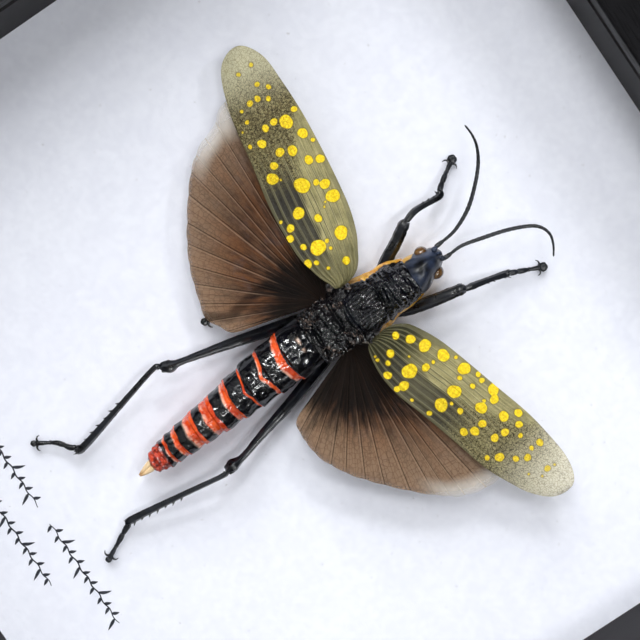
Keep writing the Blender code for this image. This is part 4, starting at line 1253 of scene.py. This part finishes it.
def addAbdomen():
    look = abdomenLook
    inks = inksOf(look)
    points, outward, up, angle, shrink = bodyGrid(bodyShapes["abdomen"], look["rows"],
                                                  look["columns"], 0.6, 0.7, 2.2)
    line = smoothThrough(bodyShapes["abdomen"], 200)
    middle = np.interp(-up, -line[:, 0], line[:, 1])
    half = np.interp(-up, -line[:, 0], line[:, 2])
    side = (points[..., 0] - middle) / half  # -1 left, 1 right
    dorsal = ease(np.sin(angle), -0.25, 0.2)
    edges = [look["start"]] + [band[0] for band in look["bands"]] + look["endRings"]
    lift = np.zeros_like(up)
    bandEdge = np.full(up.shape, -9.0)
    glintEdgeAndIvory = np.zeros_like(up)
    for place, thick, dip, sag in look["bands"]:
        at = place - dip * np.exp(-(side / 0.3) ** 2) - sag * (1 - np.clip(side, -1, 1) ** 2)
        at = at + 0.10 * grain(points * (1, 1, 0.2), 0.8, 2, place)
        bandEdge = np.maximum(bandEdge, thick / 2 - np.abs(up - at))
        # painted highlight along the tail edge of each broad band
        if thick > 0.5:
            nearRim = ease(np.abs(up - at + 0.42 * thick), 0.28 * thick, 0.05)
            glintEdgeAndIvory = np.maximum(glintEdgeAndIvory, nearRim)
    # every segment flares towards its rear border and then steps down onto the next
    for ahead, behind in zip(edges, edges[1:]):
        length = ahead - behind
        t = (ahead - up) / length
        inside = (t >= 0) & (t < 1)
        lift = lift + inside * look["flare"] * (ease(t, 0.0, 0.85) - ease(t, 0.93, 1.0))
        # flat dried facets either side of the midline
        hollow = np.sin(math.pi * np.clip(t, 0, 1)) * np.exp(-((np.abs(side) - 0.42) / 0.22) ** 2)
        lift = lift - inside * look["facet"] * hollow
    lift = lift * dorsal + 0.12 * (1 - dorsal)
    lift = lift + look["keel"] * np.exp(-(side / 0.06) ** 2) * dorsal * ease(up, -24, -22)
    lift = lift + 0.12 * domes(points + 0.4 * grain(points, 0.8, 2, 4.0)[..., None], 0.45, 7.0) * dorsal
    lift = lift + look["dent"] * grain(points, 0.6, 2, 12.0) + 0.01 * grain(points, 2.4, 2, 5.0)
    ivory = np.exp(-((up - 1.6) / 0.22) ** 2) * np.exp(-((points[..., 0] - 0.3) / 1.1) ** 4) * dorsal
    lift = lift + 0.15 * ivory
    red = ease(up, look["redFrom"] + 0.3, look["redFrom"] - 0.3)
    crumbs = np.clip(0.6 - pebbles(points, 1.3, 3.0), 0, 0.5)
    lift = lift + red * (0.2 * crumbs + 0.14 * grain(points, 1.6, 3, 1.0))
    points = points + outward * (lift * shrink)[..., None]
    fields = dict(zip(("bandEdge", "redEnd", "belly"), withPoles(bandEdge, red, 1 - dorsal)))
    # the real ivory line on the first segment and the painted band-edge highlight share one field
    fields["glintEdgeAndIvory"] = withPoles(np.maximum(glintEdgeAndIvory * dorsal * 0.55, ivory))[0]
    finish, tree, shader, colour = blackCuticle("abdomenHorn", 0.16, inks["horn"], 0.00001, 3600)
    place = objectPlace(tree)
    wobble = work(tree, "MULTIPLY", work(tree, "SUBTRACT", speckle(tree, place, 800, 3, 0.6), 0.5), 0.25)
    band = between(tree, work(tree, "ADD", fieldOf(tree, "bandEdge"), wobble), -0.05, 0.07)
    tone = speckle(tree, place, 520, 3, 0.6)
    orange = blendOf(tree, between(tree, tone, 0.35, 0.65), inks["band"], inks["bandBright"])
    dry = between(tree, speckle(tree, place, 1700, 3), 0.55, 0.75, 0, 0.4)
    orange = blendOf(tree, dry, orange, inks["bandDry"])
    sheen = between(tree, speckle(tree, place, 480, 3, 0.6), 0.54, 0.7, 0, 0.4)
    colour = blendOf(tree, sheen, colour, inks["sheen"])
    colour = blendOf(tree, band, colour, orange)
    # pale pink: the ivory line, and a painted highlight on the band edges
    ivoryAndGlint = work(tree, "MULTIPLY", fieldOf(tree, "glintEdgeAndIvory"),
                 between(tree, speckle(tree, place, 800, 4, 0.7), 0.42, 0.6))
    colour = blendOf(tree, ivoryAndGlint, colour, inks["edge"])
    crust = blendOf(tree, between(tree, speckle(tree, place, 1500, 4, 0.7), 0.38, 0.6),
                    inks["crust"], inks["crustRed"])
    colour = blendOf(tree, fieldOf(tree, "redEnd"), colour, crust)
    plugIn(tree, shader.inputs["Base Color"], colour)
    makePiece("abdomenRings", [loft(points)], finish, ["abdomen"], 70, fields)


# each valve's spine: (across, sideways share), (off the card, level share), up
ovipositorLook = {
    "spine": [((3.2, 0.38), (4.1, 0.55), -27.4), ((3.4, 0.36), (4.0, 0.45), -28.7),
              ((3.55, 0.22), (4.0, 0.3), -29.8), ((3.6, 0.1), (4.0, 0.42), -30.6)],
    "radius": [(0, 0.55), (0.35, 0.5), (0.8, 0.26), (1, 0.05)],
    "inks": {"horn": (250, 226, 190), "hornWarm": (232, 190, 132), "tip": (168, 116, 56)},
}


def addOvipositor():
    # four short valves, two above and two below, closing to a hooked point
    inks = inksOf(ovipositorLook)
    finish, tree, shader = newFinish("valveHorn", 0.3, Coat_Weight=0.4, Coat_Roughness=0.15)
    place = objectPlace(tree)
    tipward = between(tree, fieldOf(tree, "tipward"), 0.6, 1.0)
    colour = blendOf(tree, speckle(tree, place, 900, 3), inks["horn"], inks["hornWarm"])
    colour = blendOf(tree, tipward, colour, inks["tip"])
    plugIn(tree, shader.inputs["Base Color"], colour)
    plugIn(tree, shader.inputs["Normal"], relief(tree, speckle(tree, place, 3000, 2), 0.00004, 0.5))
    shells, tags = [], []
    for sideways in (-1, 1):
        for level in (-1, 1):
            spine = smoothThrough([(x[0] + x[1] * sideways, off[0] + off[1] * level, up)
                                   for x, off, up in ovipositorLook["spine"]], 26)
            radii = np.interp(np.linspace(0, 1, 26), *zip(*ovipositorLook["radius"]))
            shell = tube(spine, radii, 14)
            shells.append(shell)
            tags.append(np.clip((-27.4 - shell[0][:, 2]) / 3.2, 0, 1))
    makePiece("ovipositorValves", shells, finish, ["ovipositor"], 60,
              {"tipward": np.concatenate(tags)})


def pathFrames(path):
    # a direction across the path and one off the card at every point
    along = np.gradient(path, axis=0)
    along = along / np.linalg.norm(along, axis=1, keepdims=True)
    off = np.array((0.0, 1.0, 0.0))
    across = np.cross(along, off)
    weak = np.linalg.norm(across, axis=1) < 0.15
    across[weak] = np.cross(along[weak], (1.0, 0.0, 0.0))
    across = across / np.linalg.norm(across, axis=1, keepdims=True)
    return along, across, np.cross(across, along)


def tube(path, radii, sides, deep=1.0, corners=0, corner=0.0, turn=0.0, rough=0.0, seed=0.0):
    # corners and corner give the section a few keels; deep stretches it off the card
    _, across, upward = pathFrames(path)
    angle = np.linspace(0, 2 * math.pi, sides, endpoint=False)[None, :]
    shape = np.ones_like(angle)
    if corners:
        shape = 1 + corner * (np.abs(np.cos(corners * (angle + turn) / 2)) ** 6 - 0.3)
    spread = np.asarray(radii)[:, None] * shape
    points = path[:, None] + (across[:, None] * (spread * np.cos(angle))[..., None]
                              + upward[:, None] * (spread * np.sin(angle) * deep)[..., None])
    if rough:
        swell = rough * grain(points, 2.2, 2, seed)
        points = points + (points - path[:, None]) * swell[..., None]
    return loft(points)


legs = {
    "fore_left": {"femur": [(-1.6, 3.6, 17.0), (-2.9, 4.3, 19.4), (-4.3, 5.2, 22.0), (-5.7, 6.0, 24.2)],
                  "tibia": [(-6.2, 5.9, 25.4), (-6.6, 5.5, 27.2), (-6.3, 4.0, 31.0)],
                  "tarsus": [(-7.4, 3.2, 32.2), (-8.5, 2.2, 33.8), (-9.6, 1.3, 35.6)]},
    "fore_right": {"femur": [(4.0, 3.4, 14.6), (5.3, 4.0, 17.8), (6.2, 5.0, 21.5), (7.0, 6.0, 25.8)],
                   "tibia": [(7.5, 5.8, 27.2), (8.2, 4.6, 30.0), (9.0, 3.0, 32.6)],
                   "tarsus": [(9.6, 2.4, 34.0), (10.5, 1.8, 36.0), (11.4, 1.2, 38.0)]},
    "mid_left": {"femur": [(-4.9, 2.8, 5.4), (-6.6, 3.4, 4.2), (-8.6, 3.8, 2.6)],
                 "tibia": [(-8.9, 3.6, 1.2), (-8.9, 3.0, -1.6), (-8.9, 2.4, -4.4)],
                 "tarsus": [(-9.3, 2.0, -5.7), (-9.8, 1.5, -7.4), (-10.2, 1.2, -9.0)]},
    "mid_right": {"femur": [(6.4, 2.8, 6.4), (7.8, 3.4, 6.2), (9.4, 3.8, 6.4)],
                  "tibia": [(10.5, 3.6, 5.6), (12.0, 3.0, 3.6), (13.4, 2.4, 1.8)],
                  "tarsus": [(14.1, 2.0, 0.8), (15.0, 1.5, -0.4), (15.8, 1.2, -1.4)]},
    "hind_left": {"femur": [(-2.2, 2.0, 4.4), (-4.0, 3.0, -2.6), (-5.3, 4.0, -7.2), (-7.2, 5.2, -14.6),
                            (-7.7, 5.4, -17.0)],
                  "tibia": [(-8.8, 5.4, -19.4), (-6.9, 4.2, -27.0), (-4.7, 2.3, -35.8)],
                  "tarsus": [(-5.9, 1.8, -37.6), (-7.6, 1.5, -39.0), (-9.3, 1.2, -41.8)]},
    "hind_right": {"femur": [(4.4, 2.0, 4.4), (6.95, 3.2, -4.0), (8.7, 4.4, -11.0), (9.9, 5.2, -15.4),
                             (10.1, 5.4, -17.4)],
                   "tibia": [(10.6, 5.4, -20.0), (9.7, 4.2, -27.0), (8.8, 2.3, -35.6)],
                   "tarsus": [(9.5, 1.8, -37.6), (10.8, 1.5, -40.2), (11.9, 1.2, -42.4)]},
}

# radii as (share of the length, radius); knee: back from the end, width, swelling, lobe back, lobe size
legShapes = {
    "fore": {"femur": [(0, 0.75), (0.3, 0.92), (0.8, 0.86), (1, 0.72)], "deep": 1.05,
             "tibia": [(0, 0.42), (0.15, 0.50), (0.6, 0.42), (1, 0.52)],
             "knee": (0.8, 0.3, 0.10, 0.5, 0.36), "spines": 4, "spineLong": 0.6, "pad": 0.72},
    "mid": {"femur": [(0, 0.5), (0.3, 0.76), (0.8, 0.72), (1, 0.66)], "deep": 1.05,
            "tibia": [(0, 0.40), (0.15, 0.45), (0.6, 0.40), (1, 0.48)],
            "knee": (0.8, 0.3, 0.10, 0.5, 0.36), "spines": 4, "spineLong": 0.6, "pad": 0.62},
    "hind": {"femur": [(0, 0.85), (0.25, 0.92), (0.48, 0.8), (0.82, 0.5), (1, 0.58)], "deep": 1.25,
             "tibia": [(0, 0.44), (0.08, 0.38), (0.5, 0.44), (1, 0.62)],
             "knee": (1.5, 0.55, 0.42, 1.1, 0.62), "spines": 7, "spineLong": 1.0, "pad": 0.5},
}


limbCastAndSheen = (20, 23, 32)  # painted sheen: the blue that black limbs show where they shine, mixed in random patches


def thorn(root, tip, radius):
    return tube(np.linspace(root, tip, 5), np.linspace(radius, 0.02, 5), 7)


def reachOut(first, last, share):
    # a point that carries on from the end of one segment towards the start of the next
    return np.asarray(first, float) * (1 - share) + np.asarray(last, float) * share


def roundEnds(share, start, end):
    # 1 along a limb, falling as a quarter circle over its first and last shares
    first = np.clip(1 - (1 - share / start) ** 2 * (share < start), 0.05, 1) if start else 1
    last = np.clip(1 - ((share - 1 + end[0]) / end[1]) ** 2 * (share > 1 - end[0]), 0.03, 1)
    return np.sqrt(first), np.sqrt(last)


def addFemur(name, shape, path, finish):
    kneeBack, kneeWide, kneeSwell, lobeBack, lobeSize = shape["knee"]
    share = np.linspace(0, 1, len(path))
    rootRound, kneeRound = roundEnds(share, 0.04, (0.04, 0.042))
    length = np.linalg.norm(np.diff(path, axis=0), axis=1).sum()
    fromKnee = (share - 1 + kneeBack / length) / ((0.1 / length) ** 0.5 * kneeWide)
    radii = np.interp(share, *zip(*shape["femur"])) * rootRound
    radii = (radii + kneeSwell * np.exp(-fromKnee ** 2)) * kneeRound
    shells = [tube(path, radii, 30, shape["deep"], 6, 0.20, 0.3, 0.05, len(name))]
    along = path[-1] - path[-8]
    along = along / np.linalg.norm(along)
    across = np.cross(along, (0, 1, 0))
    turn = np.array(Vector((0, 0, 1)).rotation_difference(Vector(along)).to_matrix())
    for sideways in (-1, 1):  # the lobes that clasp the knee
        at = path[-1] - along * lobeBack + across * sideways * radii.max() * 0.55
        radiiLobe = (lobeSize * 0.6, lobeSize * 0.9, lobeSize * 1.5)
        points, faces = ballShell((0, 0, 0), radiiLobe, 20, 22, 0.15, 3 + sideways)
        shells.append((points @ turn.T + at, faces))
    makePiece(name + "Femur", shells, finish, ["femur_" + name], 35)


def addTibia(name, shape, path, finish):
    share = np.linspace(0, 1, len(path))
    _, ankleRound = roundEnds(share, 0, (0.015, 0.017))
    radii = np.interp(share, *zip(*shape["tibia"])) * ankleRound
    shells = [tube(path, radii, 22, 1.0, 4, 0.22, 0.4, 0.05, len(name) + 2)]
    along, across, upward = pathFrames(path)
    for number in range(shape["spines"]):
        at = 0.42 + 0.54 * (number + 0.5) / shape["spines"]
        i = int(at * (len(path) - 1))
        for sideways in (-1, 1):
            aside = across[i] * sideways * 0.85 + upward[i] * 0.35
            outer = across[i][0] * sideways * path[i][0] > 0  # the outer row is longer and stouter
            long = (0.62 if outer else 0.3) * shape["spineLong"] * (1 + 0.2 * math.sin(number * 2.3))
            root = path[i] + aside * radii[i] * 0.75
            tip = root + aside * long + along[i] * long * 0.6
            shells.append(thorn(root, tip, 0.26 if outer else 0.15))
    for sideways in (-1, 1):  # spurs at the ankle
        for level in (-0.5, 0.6):
            root = path[-4] + across[-4] * sideways * 0.35 + upward[-4] * level * 0.4
            tip = root + along[-4] * 0.6 + across[-4] * sideways * 0.3 + upward[-4] * level * 0.3
            shells.append(thorn(root, tip, 0.16))
    makePiece(name + "Tibia", shells, finish, ["tibia_" + name], 35)


def addTarsus(name, shape, path, finish):
    share = np.linspace(0, 1, len(path))
    lump = np.abs(np.sin(math.pi * (share ** 0.9) * 3)) ** 0.45
    radii = np.interp(share, (0, 0.35, 0.7, 1), (0.46, 0.46, 0.30, 0.42)) * (0.6 + 0.42 * lump)
    radii[-3:] *= (0.9, 0.7, 0.4)
    shells = [tube(path, radii, 18, 0.9, 0, 0, 0, 0.10, len(name) + 5)]
    along, across, upward = pathFrames(path)
    pad = shape["pad"]
    end = path[-1] + along[-1] * pad * 0.55
    shells.append(ballShell(end, (pad, pad * 0.62, pad), 22, 28, 0.12, 1.0))
    for number in (26, 52):  # soft soles under the joints
        sole = path[number] - upward[number] * 0.2
        shells.append(ballShell(sole, (0.34, 0.26, 0.40), 12, 14, 0.2, number))
    for sideways in (-1, 1):  # claws
        root = path[-6] + across[-6] * sideways * 0.1
        claw = smoothThrough([root, root + across[-6] * sideways * 0.5 + along[-6] * 0.2,
                              root + across[-6] * sideways * 0.9 + along[-6] * 0.1 - upward[-6] * 0.1,
                              root + across[-6] * sideways * 1.1 - along[-6] * 0.2 - upward[-6] * 0.3], 14)
        shells.append(tube(claw, np.linspace(0.24, 0.05, 14), 9))
    makePiece(name + "Tarsus", shells, finish, ["tarsus_" + name], 45)


def addLeg(name, finish):
    shape = legShapes[name.split("_")[0]]
    leg = legs[name]
    knee = tuple(reachOut(leg["femur"][-1], leg["tibia"][0], 0.62))
    ankle = tuple(reachOut(leg["tibia"][-1], leg["tarsus"][0], 0.5))
    addFemur(name, shape, smoothThrough(leg["femur"] + [knee], 70), finish)
    addTibia(name, shape, smoothThrough([knee] + leg["tibia"] + [ankle], 90), finish)
    addTarsus(name, shape, smoothThrough([ankle] + leg["tarsus"], 80), finish)


antennae = {
    "left": [(-0.45, 7.0, 26.4), (-0.5, 7.0, 27.4), (-0.9, 7.3, 30.2), (-2.4, 7.7, 33.4), (-4.6, 8.1, 36.1),
             (-7.1, 8.5, 38.4), (-9.4, 8.8, 39.7), (-11.3, 8.9, 40.1), (-13.1, 9.0, 40.0)],
    "right": [(1.7, 7.0, 26.4), (1.7, 7.0, 27.4), (1.6, 7.1, 29.8), (2.4, 7.3, 33.2), (3.4, 7.5, 36.7),
              (4.7, 7.7, 39.7), (5.9, 7.8, 41.1), (7.5, 7.9, 41.6), (9.1, 8.0, 41.1), (10.5, 8.0, 40.2)],
}
antennaLook = {
    "radius": [(0, 0.34), (0.04, 0.38), (0.07, 0.25), (0.35, 0.33), (0.7, 0.29), (1, 0.13)],
    "joints": 26, "waist": 0.16,
}


def addAntenna(side, finish):
    path = smoothThrough(antennae[side], 300)
    share = np.linspace(0, 1, 300)
    radii = np.interp(share, *zip(*antennaLook["radius"]))
    beat = np.mod(share * antennaLook["joints"], 1)
    radii = radii * (1 - antennaLook["waist"] * np.exp(-((np.minimum(beat, 1 - beat)) / 0.1) ** 2))
    radii[-4:] *= (0.95, 0.85, 0.65, 0.35)
    makePiece(side + "Antenna", [tube(path, radii, 14, 1, 0, 0, 0, 0.04)], finish,
              ["antenna_" + side], 60)


glueLook = {
    "centre": (0.9, 0.5, 8.0), "radii": (2.4, 0.32, 2.4),
    "inks": {"amber": (214, 205, 184), "clear": (235, 229, 214)},
}


def addGlue():
    inks = inksOf(glueLook)
    finish, tree, shader = newFinish("driedGlue", 0.3, Transmission_Weight=0.35)
    cloud = speckle(tree, objectPlace(tree), 900, 3)
    plugIn(tree, shader.inputs["Base Color"], blendOf(tree, cloud, inks["amber"], inks["clear"]))
    dab = ballShell(glueLook["centre"], glueLook["radii"], 24, 40, 0.25, 4.0)
    makePiece("glueDab", [dab], finish, ["glue_dab"], 60)


# sprigs of pen work: runs are (from, to, line height), leaf is (length, half width)
flourishLook = {
    "runs": [(-21.4, -0.8, -48.3), (2.4, 21.4, -48.3), (-10.6, 10.6, -53.7)],
    "pitch": 0.98, "leaf": (1.2, 0.22), "steep": 62,
    "inks": {"ink": (22, 25, 36), "inkThin": (44, 46, 58)},
}


def addFlourish():
    # a leafy pen border where a caption would stand
    look = flourishLook
    inks = inksOf(look)
    shells = []

    def stroke(path, half):
        path = np.array(path, float)
        along = np.gradient(path, axis=0)
        side = np.stack([-along[:, 1], along[:, 0]], 1) / np.linalg.norm(along, axis=1, keepdims=True)
        edges = np.stack([path + side * half[:, None], path - side * half[:, None]], 1)
        top = np.stack([edges[..., 0], np.full(edges.shape[:2], 0.05), edges[..., 1]], -1)
        shells.append(closedSheet(top, top - (0, 0.035, 0)))

    for start, end, base in look["runs"]:
        u = np.linspace(0, 1, 160)
        x = start + (end - start) * u
        middle = base + 0.95 + 0.14 * np.sin(2.1 * x)
        stroke(np.stack([x, middle], 1), 0.05 + 0.06 * np.sin(math.pi * u) ** 0.5)
        for number in range(round((end - start - 0.8) / look["pitch"])):
            leafX = start + 0.35 + number * look["pitch"]
            up = 1 if number % 2 else -1
            long = look["leaf"][0] * (1.75 if number % 5 == 3 else 1.0)
            lean = math.radians(look["steep"])
            v = np.linspace(0, 1, 16)
            root = (leafX, base + 0.95 + 0.14 * math.sin(2.1 * leafX))
            bow = 0.16 * long * np.sin(math.pi * v)
            path = np.stack([root[0] + long * v * math.cos(lean) + up * 0.3 * bow,
                             root[1] + up * (long * v * math.sin(lean) - 0.5 * bow)], 1)
            stroke(path, 0.03 + look["leaf"][1] * np.sin(math.pi * v ** 0.8) ** 0.9)
    finish, tree, shader = newFinish("penInk", 0.6)
    wash = speckle(tree, objectPlace(tree), 1500, 3)
    plugIn(tree, shader.inputs["Base Color"], blendOf(tree, wash, inks["ink"], inks["inkThin"]))
    makePiece("inkFlourish", shells, finish)


addFlourish()
addHead()
addEyes()
addPronotum()
addThorax()
addAbdomen()
addOvipositor()
print("body made")
limbHorn = blackCuticle("limbHorn", 0.3, paint(*limbCastAndSheen), 0.00003, 5200)[0]
for legName in legs:
    addLeg(legName, limbHorn)
for antennaSide in antennae:
    addAntenna(antennaSide, limbHorn)
addGlue()
print("legs, antennae and glue made")
